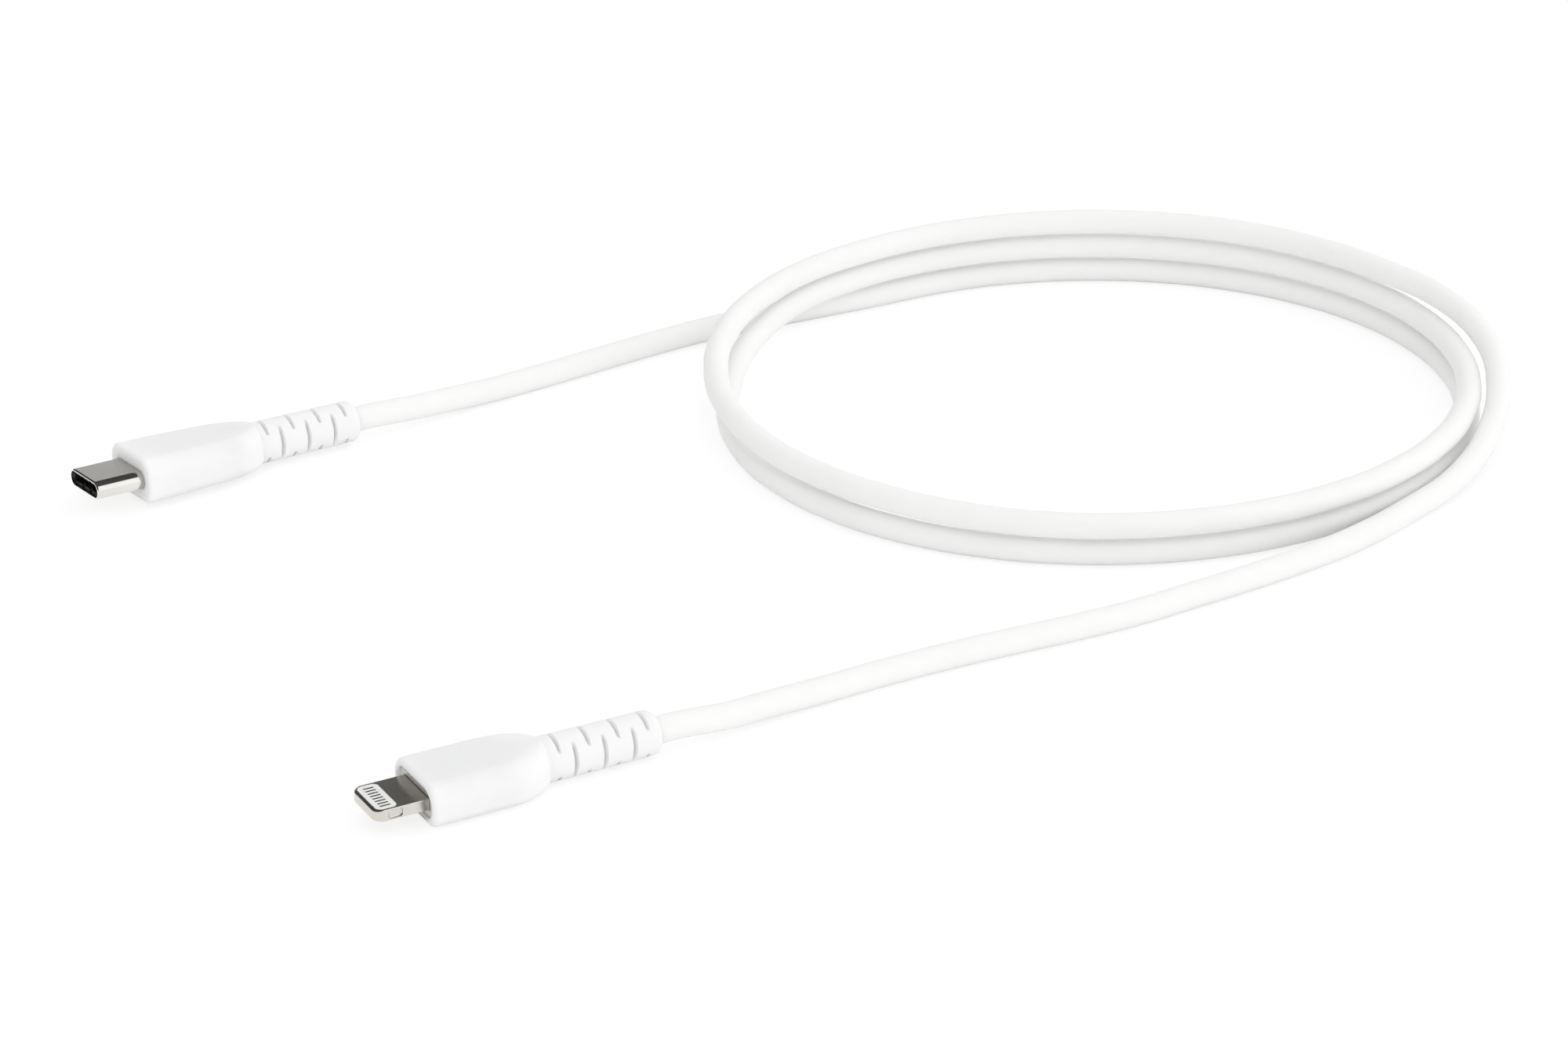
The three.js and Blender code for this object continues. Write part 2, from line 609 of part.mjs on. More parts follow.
function buildInsulator() {
  const t = tab;
  const plate = upwards(
    roundedRectangle(t.windowFrom + fit, t.windowTo - fit, fit - windowHalf, windowHalf - fit,
      t.windowCorner - fit), -t.thickness / 2, t.thickness);
  const boardHalf = tabBoard.thickness / 2;
  const slot = centredBar(tabBoard.from - fit, t.windowTo + 1, noseWidth + 2 * fit,
    tabBoard.thickness + 2 * fit);
  const pockets = [];
  for (let k = 0; k < pad.count; k += 1) {
    for (const z of [boardHalf, -boardHalf - 1]) {
      pockets.push(upwards(padShape(k, pad.room), z, 1, padCurveSteps));
    }
  }
  return cut(plate, [slot, ...pockets]);
}

function buildPad(k, side) {
  const from = tabBoard.thickness / 2 + 0.02;
  const to = tab.thickness / 2 - pad.below;
  return upwards(padShape(k, 0), side > 0 ? from : -to, to - from, padCurveSteps);
}

function buildTabBoard() {
  const b = tabBoard;
  const outline = [[b.from, noseWidth / 2], [b.step, noseWidth / 2], [b.step, b.width / 2],
    [b.to, b.width / 2]];
  const mirrored = outline.slice().reverse().map(([x, y]) => [x, -y]);
  const shape = new THREE.Shape([...outline, ...mirrored].map(([x, y]) => new THREE.Vector2(x, y)));
  return upwards(shape, -b.thickness / 2, b.thickness);
}

function buildCollar() {
  const c = collar;
  const x0 = tab.exposed;
  const section = (x, inset) => ring(x, collarWidth - inset, c.height - inset, c.height / 2, 8);
  const body = loft([section(x0, 0.16), section(x0 + 0.08, 0), section(x0 + c.thickness, 0)]);
  return cut(body, [centredBar(x0 - 1, x0 + c.thickness + 1, tab.width + 2 * c.tabGap,
    tab.thickness + 2 * c.tabGap)]);
}

function buildTabPlug() {
  const plug = new THREE.Group();
  const n = tabPlug.name;
  add(plug, `${n}_frame`, buildTabFrame(), nickel());
  add(plug, `${n}_insulator`, buildInsulator(), whitePlastic());
  for (let k = 0; k < pad.count; k += 1) {
    add(plug, `${n}_contact_upper_${k + 1}`, buildPad(k, 1), gold());
    add(plug, `${n}_contact_lower_${k + 1}`, buildPad(k, -1), gold());
  }
  add(plug, `${n}_collar`, buildCollar(), nickel());
  add(plug, `${n}_board`, buildTabBoard(), greenBoard());
  add(plug, `${n}_chip`, partOnBoard(chip, tabBoard), blackPlastic());
  const pocket = partOnBoard(chip, tabBoard, onBoard.room);
  add(plug, `${n}_inner_mould`, buildInnerMould(tabPlug, tabBoard, [pocket]), whitePlastic());
  add(plug, `${n}_can`, buildCan(tabPlug), steel());
  addWires(plug, tabPlug, tabBoard);
  addCableEnd(plug, tabPlug);
  const opening = loft([tabPlug.front - 1, tabPlug.can.from + 0.5].map((x) =>
    ring(x, collarWidth + 2 * collar.ring, collar.height + 2 * collar.ring, collar.height, 8)));
  add(plug, `${n}_overmould`, buildOvermould(tabPlug, [opening]), whiteRubber());
  return plug;
}

// ---- the cable ----------------------------------------------------------------------------------

function layOnTable(plugGroup, plug) {
  const degrees = Math.PI / 180;
  plugGroup.rotation.set(plug.roll * degrees, plug.drop * degrees, plug.yaw * degrees, 'ZYX');
  plugGroup.position.set(...plug.tip);
  plugGroup.updateMatrixWorld(true);
}

// Where the cable leaves a plug: a point inside the relief, and one a diameter past its end.
function cableExit(plugGroup, plug) {
  const inside = plugEnd(plug) - cableInset;
  return [inside, plugEnd(plug) + cable.diameter].map((x) => plugGroup.localToWorld(vec([x, 0, 0])));
}

const bump = (value, { at, half, by }) => by * smooth(1 - Math.abs(value - at) / half);

function coilPoint(turned) {
  const c = coil;
  const angle = THREE.MathUtils.degToRad(c.startsAt - turned);
  const layers = ramp(turned, c.firstClimb) + ramp(turned, c.secondClimb) - 2 * ramp(turned, c.drop);
  const radius = c.radius
    + c.oval * Math.cos(2 * (angle - THREE.MathUtils.degToRad(c.ovalTowards)))
    - c.lean * layers * Math.sin(angle)
    + bump(turned, c.leftBulge) + bump(turned, c.frontTuck)
    + (cable.diameter + c.swingOut.gap) * ramp(turned, [c.swingOut.from, c.swingOut.to]);
  return new THREE.Vector3(
    c.centre[0] + radius * Math.cos(angle),
    c.centre[1] + radius * Math.sin(angle),
    cable.diameter / 2 + layers * (cable.diameter + c.layerGap));
}

const coilDirection = (turned) =>
  coilPoint(turned + 0.5).sub(coilPoint(turned - 0.5)).setZ(0).normalize();

// Centre line of the coil, with a straight diameter of cable at each end.
function coilLine() {
  const steps = Math.round((coil.turned * coil.stepsPerTurn) / 360);
  const points = Array.from({ length: steps + 1 }, (_, i) => coilPoint((i * coil.turned) / steps));
  const start = points[0].clone().addScaledVector(coilDirection(0), -cable.diameter);
  const end = points[steps].clone().addScaledVector(coilDirection(coil.turned), cable.diameter);
  return [start, ...points, end];
}

// A six-sided tube along the centre line, each ring upright and standing on a corner.
function buildCoil(line) {
  const rings = line.map((p, i) => {
    const along = line[Math.min(i + 1, line.length - 1)].clone().sub(line[Math.max(i - 1, 0)]).normalize();
    const across = new THREE.Vector3(0, 0, 1).cross(along).normalize();
    const up = along.clone().cross(across);
    return Array.from({ length: coil.sides }, (_, k) => {
      const a = ((k + 0.5) * 2 * Math.PI) / coil.sides;
      return p.clone()
        .addScaledVector(across, (Math.cos(a) * cable.diameter) / 2)
        .addScaledVector(up, (Math.sin(a) * cable.diameter) / 2);
    });
  });
  return loft(rings);
}

function leastGap() {
  const fine = Array.from({ length: coil.turned + 1 }, (_, i) => coilPoint(i));
  let least = Infinity;
  for (let i = 0; i < fine.length; i += 1) {
    for (let j = i + 120; j < fine.length; j += 1) {
      least = Math.min(least, fine[i].distanceTo(fine[j]));
    }
  }
  return least - cable.diameter;
}

function buildLead(points) {
  const line = new THREE.CatmullRomCurve3(points, false, 'centripetal');
  const steps = Math.round(line.getLength() / (leadStep * cable.diameter));
  return tubeAlong(points, cable.diameter, leadSides, steps);
}

const shellPlugGroup = buildShellPlug();
const tabPlugGroup = buildTabPlug();
layOnTable(shellPlugGroup, shellPlug);
layOnTable(tabPlugGroup, tabPlug);
group.add(shellPlugGroup, tabPlugGroup);

const turns = coilLine();
const beforeCoil = turns[0].clone().addScaledVector(coilDirection(0), -cableGap);
const afterCoil = turns.at(-1).clone().addScaledVector(coilDirection(coil.turned), cableGap);
const straight = (point, turned, sign) =>
  point.clone().addScaledVector(coilDirection(turned), sign * cable.diameter);
const shellLeadLine = [...cableExit(shellPlugGroup, shellPlug), ...shellLead.map(vec),
  straight(beforeCoil, 0, -1), beforeCoil];
const tabLeadLine = [afterCoil, straight(afterCoil, coil.turned, 1), ...tabLead.map(vec),
  ...cableExit(tabPlugGroup, tabPlug).reverse()];

add(group, 'cable_shell_lead', buildLead(shellLeadLine), whiteRubber());
add(group, 'cable_coil', buildCoil(turns), whiteRubber());
add(group, 'cable_tab_lead', buildLead(tabLeadLine), whiteRubber());

const lengthOf = (points) => new THREE.CatmullRomCurve3(points, false, 'centripetal').getLength();
const total = [shellLeadLine, turns, tabLeadLine].reduce((sum, line) => sum + lengthOf(line), 0);
console.log(`least gap between turns ${leastGap().toFixed(2)} mm, free cable ${total.toFixed(0)} mm`);

export default group;
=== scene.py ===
import json
import math

import bpy
from mathutils import Euler, Matrix, Vector


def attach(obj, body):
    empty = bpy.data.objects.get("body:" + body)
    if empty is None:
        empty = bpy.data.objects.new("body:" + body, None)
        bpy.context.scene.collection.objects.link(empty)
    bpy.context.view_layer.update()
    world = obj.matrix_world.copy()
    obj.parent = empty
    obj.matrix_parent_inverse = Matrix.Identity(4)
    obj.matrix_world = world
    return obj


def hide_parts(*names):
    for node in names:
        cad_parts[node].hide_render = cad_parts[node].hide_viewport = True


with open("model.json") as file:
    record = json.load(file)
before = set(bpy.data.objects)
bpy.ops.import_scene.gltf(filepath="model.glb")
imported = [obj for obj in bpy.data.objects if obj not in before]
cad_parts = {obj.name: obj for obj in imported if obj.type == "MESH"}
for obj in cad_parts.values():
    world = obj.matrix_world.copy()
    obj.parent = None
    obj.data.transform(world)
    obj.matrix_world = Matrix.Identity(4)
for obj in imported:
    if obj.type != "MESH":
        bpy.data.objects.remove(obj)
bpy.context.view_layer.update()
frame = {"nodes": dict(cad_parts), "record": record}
nodes = frame["nodes"]
mm = 0.001  # plugs are modelled in millimetres and laid on the table in metres
print("frame loaded:", len(nodes), "nodes")


# camera, a long lens looking down at the table

cameraView = {
    "lens": 120.0,  # mm
    "sensor": 36.0,
    "nearest": 0.01,  # m, nothing closer is drawn
    "pitch": 25.47,  # degrees below the horizon
    "distance": 663.5,  # mm, from the point aimed at
    "aim": (52.66, 27.9, 0.0),  # mm, point of the table in the middle of the picture
}


def makeCamera():
    v = cameraView
    pitch = math.radians(v["pitch"])
    data = bpy.data.cameras.new("camera")
    data.lens = v["lens"]
    data.sensor_width = v["sensor"]
    data.clip_start = v["nearest"]
    camera = bpy.data.objects.new("camera", data)
    back = Vector((0, -math.cos(pitch), math.sin(pitch))) * v["distance"]
    camera.location = (Vector(v["aim"]) + back) * mm
    camera.rotation_euler = (math.pi / 2 - pitch, 0, 0)
    bpy.context.scene.collection.objects.link(camera)
    bpy.context.scene.camera = camera


makeCamera()
print("camera set")


# how each plug lies: its tip, and how it is turned about Z, Y and X

shellPlugPlace = {"tip": (-36.48, 32.04, 3.408), "yaw": 32.4, "drop": 0.56, "roll": -5.2}
tabPlugPlace = {"tip": (5.13, -52.21, 2.715), "yaw": 28.8, "drop": -0.25, "roll": 0.0}


def placeMatrix(place):
    turn = Euler([math.radians(place[k]) for k in ("roll", "drop", "yaw")], "XYZ")
    return Matrix.Translation(Vector(place["tip"])) @ turn.to_matrix().to_4x4()


shellPlugMatrix = placeMatrix(shellPlugPlace)
tabPlugMatrix = placeMatrix(tabPlugPlace)


# the cable, one cord from plug to plug, in millimetres

cable = {
    "diameter": 3.3,
    "inset": 1.2,  # it starts this far inside each strain relief
    "sides": 14,  # bevel resolution
    "steps": 5,  # steps between two points
}
shellLead = [  # from the shell plug to the coil
    (2.98, 57.33, 2.6), (7.88, 61.13, 2.15), (13.38, 65.23, 1.75), (20.38, 70.33, 1.65),
    (27.88, 75.93, 1.65), (35.88, 81.83, 1.65), (42.38, 86.13, 1.65), (49.38, 90.03, 1.65),
    (56.88, 93.73, 1.65), (63.88, 97.23, 1.65),
]
tabLead = [  # from the coil to the tab plug
    (123.88, 19.33, 1.65), (117.38, 13.93, 1.65), (110.38, 8.83, 1.65), (102.88, 3.83, 1.65),
    (95.38, -1.07, 1.65), (87.88, -5.07, 1.65), (80.38, -8.67, 1.65), (72.38, -12.67, 1.65),
    (64.38, -17.17, 1.65), (56.88, -21.87, 1.7), (50.88, -25.91, 2.02), (45.88, -29.56, 2.35),
]
coil = {
    "centre": (94.18, 61.63),
    "radius": 47.3,
    "oval": 1.85,  # this much wider one way, and narrower across it
    "ovalTowards": 14,  # degrees
    "startsAt": 113,  # degrees
    "turned": 875,  # degrees, clockwise seen from above, and so are the places below
    "step": 12.5,  # about so many degrees between two points
    "layer": 3.73,  # how much higher a turn lies on the one below it
    "lean": 0.35,  # how far each layer is shifted towards the front
    "firstClimb": (275, 330),
    "secondClimb": (610, 690),
    "drop": (805, 875),  # from the second layer down to the table
    "leftBulge": (656, 48, 1.6),  # where, half its length, and how far outwards
    "frontTuck": (604, 36, -0.6),
    "swingOut": (791, 833, 3.9),  # from, to, and how far outwards
}
shellPlugEnd = 38.85  # cable end of each strain relief, from the plug's tip
tabPlugEnd = 37.2


def smoothStep(value, start, end):
    t = min(1.0, max(0.0, (value - start) / (end - start)))
    return t * t * (3 - 2 * t)


def bump(value, at, half, height):
    return height * smoothStep(1 - abs(value - at) / half, 0, 1)


def coilPoint(turned):
    c = coil
    angle = math.radians(c["startsAt"] - turned)
    layers = smoothStep(turned, *c["firstClimb"]) + smoothStep(turned, *c["secondClimb"])
    layers -= 2 * smoothStep(turned, *c["drop"])
    radius = c["radius"] + c["oval"] * math.cos(2 * (angle - math.radians(c["ovalTowards"])))
    radius -= c["lean"] * layers * math.sin(angle)
    radius += bump(turned, *c["leftBulge"]) + bump(turned, *c["frontTuck"])
    start, end, out = c["swingOut"]
    radius += out * smoothStep(turned, start, end)
    x = c["centre"][0] + radius * math.cos(angle)
    y = c["centre"][1] + radius * math.sin(angle)
    return Vector((x, y, cable["diameter"] / 2 + layers * c["layer"]))


# from inside the strain relief straight out, for one diameter
def plugExit(matrix, plugEnd):
    inside = matrix @ Vector((plugEnd - cable["inset"], 0, 0))
    outside = matrix @ Vector((plugEnd + cable["diameter"], 0, 0))
    return [inside, outside]


def cableRoute():
    count = round(coil["turned"] / coil["step"])
    turns = [coilPoint(i * coil["turned"] / count) for i in range(count + 1)]
    start = plugExit(shellPlugMatrix, shellPlugEnd) + [Vector(p) for p in shellLead]
    end = [Vector(p) for p in tabLead] + plugExit(tabPlugMatrix, tabPlugEnd)[::-1]
    return [p * mm for p in start + turns + end]


def makeCable():
    route = cableRoute()
    curve = bpy.data.curves.new("cable", "CURVE")
    curve.dimensions = "3D"
    curve.resolution_u = cable["steps"]
    curve.bevel_depth = 1.0  # times each point's radius
    curve.bevel_resolution = cable["sides"]
    curve.use_fill_caps = True
    spline = curve.splines.new("BEZIER")
    spline.bezier_points.add(len(route) - 1)
    for point, place in zip(spline.bezier_points, route):
        point.co = place
        point.radius = cable["diameter"] / 2 * mm
        point.handle_left_type = "AUTO"
        point.handle_right_type = "AUTO"
    cord = bpy.data.objects.new("cable", curve)
    bpy.context.scene.collection.objects.link(cord)
    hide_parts("cable_shell_lead", "cable_coil", "cable_tab_lead")
    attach(cord, "root")
    return cord


cablePiece = makeCable()


# shader nodes

def grey(level):
    return (level, level, level, 1)


def setInputs(node, values):
    for label, value in values.items():
        node.inputs[label].default_value = value


def addMath(tree, operation, *values):
    node = tree.nodes.new("ShaderNodeMath")
    node.operation = operation
    for socket, value in zip(node.inputs, values):
        if value is not None:
            socket.default_value = value
    return node


def addColourMix(tree, blend):
    node = tree.nodes.new("ShaderNodeMix")
    node.data_type = "RGBA"
    node.blend_type = blend
    return node


def newGroup(name, inputs, outputs):
    group = bpy.data.node_groups.new(name, "ShaderNodeTree")
    for way, sockets in (("INPUT", inputs), ("OUTPUT", outputs)):
        for label, kind in sockets.items():
            group.interface.new_socket(label, in_out=way, socket_type=kind)
    start = group.nodes.new("NodeGroupInput")
    end = group.nodes.new("NodeGroupOutput")
    return group, start, end


mottleShape = {
    "detail": 4.0,
    "middle": 0.5,
    "halfWidth": 0.25,  # of the blend between the colours, without contrast
    "leastWidth": 0.001,  # and its width at full contrast
}


# soft cloudy variation between two colours, as moulded rubber and plastic have
def makeMottleGroup():
    m = mottleShape
    group, start, end = newGroup(
        "mottle",
        {"Color A": "NodeSocketColor", "Color B": "NodeSocketColor",
         "Scale": "NodeSocketFloat", "Contrast": "NodeSocketFloat"},
        {"Color": "NodeSocketColor"})
    add, link = group.nodes.new, group.links.new
    coords = add("ShaderNodeTexCoord")
    noise = add("ShaderNodeTexNoise")
    setInputs(noise, {"Detail": m["detail"]})
    spread = add("ShaderNodeMapRange")
    softness = addMath(group, "SUBTRACT", 1.0)
    low = addMath(group, "MULTIPLY_ADD", None, -m["halfWidth"], m["middle"])
    high = addMath(group, "MULTIPLY_ADD", None, m["halfWidth"], m["middle"] + m["leastWidth"])
    mix = addColourMix(group, "MIX")
    link(coords.outputs["Object"], noise.inputs["Vector"])
    link(start.outputs["Scale"], noise.inputs["Scale"])
    link(start.outputs["Contrast"], softness.inputs[1])
    link(softness.outputs[0], low.inputs[0])
    link(softness.outputs[0], high.inputs[0])
    link(noise.outputs["Fac"], spread.inputs["Value"])
    link(low.outputs[0], spread.inputs["From Min"])
    link(high.outputs[0], spread.inputs["From Max"])
    link(spread.outputs["Result"], mix.inputs["Factor"])
    link(start.outputs["Color A"], mix.inputs["A"])
    link(start.outputs["Color B"], mix.inputs["B"])
    link(mix.outputs["Result"], end.inputs["Color"])
    return group


grainShape = {
    "detail": 3.0,
    "wideScale": 90.0,  # of the noise that varies the roughness
    "middle": 0.5,  # of that noise
}


# fine surface grain: a height for the bump and a roughness round a middle value
def makeGrainGroup():
    g = grainShape
    group, start, end = newGroup(
        "fineGrain",
        {"Scale": "NodeSocketFloat", "Roughness": "NodeSocketFloat", "Spread": "NodeSocketFloat"},
        {"Height": "NodeSocketFloat", "Roughness": "NodeSocketFloat"})
    add, link = group.nodes.new, group.links.new
    coords = add("ShaderNodeTexCoord")
    fine = add("ShaderNodeTexNoise")
    setInputs(fine, {"Detail": g["detail"]})
    wide = add("ShaderNodeTexNoise")
    setInputs(wide, {"Scale": g["wideScale"]})
    centre = addMath(group, "SUBTRACT", None, g["middle"])
    scaled = addMath(group, "MULTIPLY_ADD")
    link(coords.outputs["Object"], fine.inputs["Vector"])
    link(coords.outputs["Object"], wide.inputs["Vector"])
    link(start.outputs["Scale"], fine.inputs["Scale"])
    link(wide.outputs["Fac"], centre.inputs[0])
    link(centre.outputs[0], scaled.inputs[0])
    link(start.outputs["Spread"], scaled.inputs[1])
    link(start.outputs["Roughness"], scaled.inputs[2])
    link(fine.outputs["Fac"], end.inputs["Height"])
    link(scaled.outputs[0], end.inputs["Roughness"])
    return group


mottle = makeMottleGroup()
fineGrain = makeGrainGroup()


# materials: two colours with clouds of a scale between them, a roughness with its spread,
# and a grain of a scale with its depth in mm

lightReach = (1.0, 0.98, 0.96)  # mm, how far red, green and blue light go inside the white plastic


def makeFinish(name, colour, second, scale, roughness, grain, depth, spread=0.05, contrast=0.5,
               metallic=0.0, specular=0.5, subsurface=0.0, mirrored=1.0):
    material = bpy.data.materials.new(name)
    material.use_nodes = True
    tree = material.node_tree
    add, link = tree.nodes.new, tree.links.new
    shader = tree.nodes["Principled BSDF"]
    setInputs(shader, {"Metallic": metallic, "Specular IOR Level": specular, "Subsurface Weight": subsurface,
                       "Subsurface Radius": lightReach, "Subsurface Scale": mm})
    cloud = add("ShaderNodeGroup")
    cloud.node_tree = mottle
    setInputs(cloud, {"Color A": (*colour, 1), "Color B": (*second, 1), "Scale": scale, "Contrast": contrast})
    surface = add("ShaderNodeGroup")
    surface.node_tree = fineGrain
    setInputs(surface, {"Scale": grain, "Roughness": roughness, "Spread": spread})
    relief = add("ShaderNodeBump")
    setInputs(relief, {"Strength": 1.0, "Distance": depth * mm})
    # painted shade in reflections: for glossy rays the colour is multiplied by mirrored, so polished metal
    # shows this material darker than it is
    if mirrored < 1:  # how bright it shows in polished metal
        path = add("ShaderNodeLightPath")
        dimmed = addColourMix(tree, "MULTIPLY")
        setInputs(dimmed, {"B": grey(mirrored)})
        link(path.outputs["Is Glossy Ray"], dimmed.inputs["Factor"])
        link(cloud.outputs["Color"], dimmed.inputs["A"])
        link(dimmed.outputs["Result"], shader.inputs["Base Color"])
    else:
        link(cloud.outputs["Color"], shader.inputs["Base Color"])
    link(surface.outputs["Roughness"], shader.inputs["Roughness"])
    link(surface.outputs["Height"], relief.inputs["Height"])
    link(relief.outputs["Normal"], shader.inputs["Normal"])
    return material


finishSettings = {
    # the moulding's mirrored 0.62 is painted shade: its reflection in the metal shell is darkened to 62 % of
    # its colour
    "moulding": dict(colour=(0.905, 0.907, 0.903), second=(0.893, 0.895, 0.89), scale=120.0, roughness=0.48,
                     spread=0.06, grain=1800.0, depth=0.005, specular=0.15, subsurface=0.9, mirrored=0.62),
    "jacket": dict(colour=(0.905, 0.906, 0.898), second=(0.89, 0.892, 0.882), scale=70.0, roughness=0.5,
                   spread=0.08, grain=1200.0, depth=0.006, specular=0.15, subsurface=0.9),
    "shellNickel": dict(colour=(0.8, 0.787, 0.755), second=(0.77, 0.754, 0.718), scale=220.0,
                        roughness=0.13, grain=3000.0, depth=0.002, metallic=1.0),
    "tabNickel": dict(colour=(0.7, 0.68, 0.64), second=(0.66, 0.635, 0.59), scale=260.0,
                      roughness=0.27, spread=0.08, grain=3000.0, depth=0.003, metallic=1.0),
    "collarNickel": dict(colour=(0.72, 0.71, 0.68), second=(0.67, 0.66, 0.63), scale=260.0,
                         roughness=0.5, spread=0.08, grain=2600.0, depth=0.004, metallic=0.55),
    # spring steel: its own grey, darkened further as painted shade for the springs deep in the plug's mouth
    "springSteelPaintedShade": dict(colour=(0.4, 0.39, 0.37), second=(0.34, 0.33, 0.31), scale=400.0,
                        roughness=0.2, spread=0.08, grain=3000.0, depth=0.002, metallic=1.0),
    "canSteel": dict(colour=(0.62, 0.61, 0.6), second=(0.55, 0.54, 0.52), scale=160.0,
                     roughness=0.35, spread=0.12, grain=1500.0, depth=0.006, metallic=1.0),
    "contactGold": dict(colour=(0.83, 0.62, 0.3), second=(0.76, 0.55, 0.25), scale=500.0,
                        roughness=0.2, spread=0.08, grain=3000.0, depth=0.002, metallic=1.0),
    "contactDark": dict(colour=(0.1, 0.095, 0.09), second=(0.07, 0.065, 0.06), scale=500.0,
                        roughness=0.3, spread=0.08, grain=3000.0, depth=0.002, metallic=1.0),
    "carrierBlack": dict(colour=(0.01, 0.01, 0.01), second=(0.015, 0.015, 0.015), scale=200.0,
                         roughness=0.5, spread=0.1, grain=2200.0, depth=0.006, specular=0.25),
    "insulatorWhite": dict(colour=(0.9, 0.9, 0.89), second=(0.86, 0.86, 0.84), scale=300.0,
                           roughness=0.38, spread=0.06, grain=2600.0, depth=0.004),
    "innerMould": dict(colour=(0.8, 0.8, 0.76), second=(0.72, 0.72, 0.68), scale=150.0,
                       roughness=0.55, spread=0.1, grain=900.0, depth=0.015),
    "boardGreen": dict(colour=(0.015, 0.12, 0.04), second=(0.03, 0.2, 0.07), scale=700.0, contrast=0.9,
                       roughness=0.35, spread=0.1, grain=2000.0, depth=0.01),
    "componentBlack": dict(colour=(0.02, 0.02, 0.022), second=(0.04, 0.04, 0.04), scale=600.0,
                           roughness=0.5, spread=0.1, grain=2400.0, depth=0.008),
}
wireColours = {
    "wireRed": ((0.45, 0.02, 0.015), (0.36, 0.015, 0.012)),
    "wireWhite": ((0.82, 0.82, 0.8), (0.76, 0.76, 0.74)),
    "wireGreen": ((0.02, 0.22, 0.05), (0.015, 0.17, 0.04)),
    "wireBlack": ((0.02, 0.02, 0.02), (0.03, 0.03, 0.03)),
}
for wire, (colour, second) in wireColours.items():
    finishSettings[wire] = dict(colour=colour, second=second, scale=200.0, roughness=0.4, grain=1500.0,
                                depth=0.005)
finishes = {name: makeFinish(name, **settings) for name, settings in finishSettings.items()}
print("materials made:", len(finishes))


# modelling helpers

levelWithin = 1e-4  # mm, two points this close along an axis are level
endWithin = 0.01  # mm, a point this close to an end is on it
past = 1.0  # mm, how far cutters reach past what they cut


def deselectAll():
    if bpy.context.object and bpy.context.object.mode == "EDIT":
        bpy.ops.object.mode_set(mode="OBJECT")
    bpy.ops.object.select_all(action="DESELECT")


def makeActive(piece):
    deselectAll()
    bpy.context.view_layer.objects.active = piece
    piece.select_set(True)


def applyTransform():
    bpy.ops.object.transform_apply(location=True, rotation=True, scale=True)


def modify(piece, kind, **settings):
    makeActive(piece)
    modifier = piece.modifiers.new(kind.lower(), kind)
    for key, value in settings.items():
        setattr(modifier, key, value)
    bpy.ops.object.modifier_apply(modifier=modifier.name)


def cutWith(piece, cutters):
    for cutter in cutters:
        modify(piece, "BOOLEAN", object=cutter, operation="DIFFERENCE", solver="EXACT")
        bpy.data.objects.remove(cutter)


def editWhole(piece, operator, **settings):
    makeActive(piece)
    bpy.ops.object.mode_set(mode="EDIT")
    bpy.ops.mesh.select_all(action="SELECT")
    operator(**settings)
    bpy.ops.object.mode_set(mode="OBJECT")


def recalculateNormals(piece):
    editWhole(piece, bpy.ops.mesh.normals_make_consistent, inside=False)


# a shell with a bore can come out of the recalculation inside out, so its volume's sign decides
def faceOutwards(piece):
    recalculateNormals(piece)
    mesh = piece.data
    mesh.calc_loop_triangles()
    corners = [vertex.co for vertex in mesh.vertices]
    volume = 0.0
    for triangle in mesh.loop_triangles:
        a, b, c = (corners[i] for i in triangle.vertices)
        volume += a.dot(b.cross(c)) / 6
    if volume < 0:
        editWhole(piece, bpy.ops.mesh.flip_normals)


# the edges whose two ends pass the test
def roundEdges(piece, radius, steps, test):
    makeActive(piece)
    bpy.ops.object.mode_set(mode="EDIT")
    bpy.ops.mesh.select_mode(type="EDGE")
    bpy.ops.mesh.select_all(action="DESELECT")
    bpy.ops.object.mode_set(mode="OBJECT")
    for edge in piece.data.edges:
        a, b = (piece.data.vertices[i].co for i in edge.vertices)
        edge.select = test(a, b)
    bpy.ops.object.mode_set(mode="EDIT")
    bpy.ops.mesh.bevel(offset=radius, segments=steps, affect="EDGES", profile=0.5)
    bpy.ops.object.mode_set(mode="OBJECT")


def smoothByAngle(piece, degrees):
    makeActive(piece)
    bpy.ops.object.shade_smooth_by_angle(angle=math.radians(degrees))


def finishPiece(piece, name, plugMatrix, finish, slotName, *replaced):
    piece.name = name
    piece.data.name = name
    makeActive(piece)
    applyTransform()
    piece.data.transform(Matrix.Scale(mm, 4) @ plugMatrix)
    piece.data.materials.clear()
    piece.data.materials.append(finishes[finish])
    modify(piece, "WEIGHTED_NORMAL", keep_sharp=True)
    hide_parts(*replaced)
    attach(piece, "root")
    print("made", name, len(piece.data.polygons), "faces")


# box from corner to corner
def addBox(low, high):
    deselectAll()
    bpy.ops.mesh.primitive_cube_add(size=1)
    box = bpy.context.object
    box.location = [(a + b) / 2 for a, b in zip(low, high)]
    box.scale = [b - a for a, b in zip(low, high)]
    applyTransform()
    return box


# a tube or bar of oval section along X: a cylinder whose two halves are moved apart
def addOvalBar(start, end, width, height, filled, around=96):
    deselectAll()
    fill = "NGON" if filled else "NOTHING"
    bpy.ops.mesh.primitive_cylinder_add(vertices=around, radius=height / 2, depth=end - start,
                                        end_fill_type=fill)
    bar = bpy.context.object
    bar.rotation_euler = (0, 0, math.pi / around)
    applyTransform()
    bar.rotation_euler = (0, math.pi / 2, 0)
    bar.location = ((start + end) / 2, 0, 0)
    applyTransform()
    apart = (width - height) / 2
    for vertex in bar.data.vertices:
        vertex.co.y += apart if vertex.co.y > 0 else -apart
    return bar


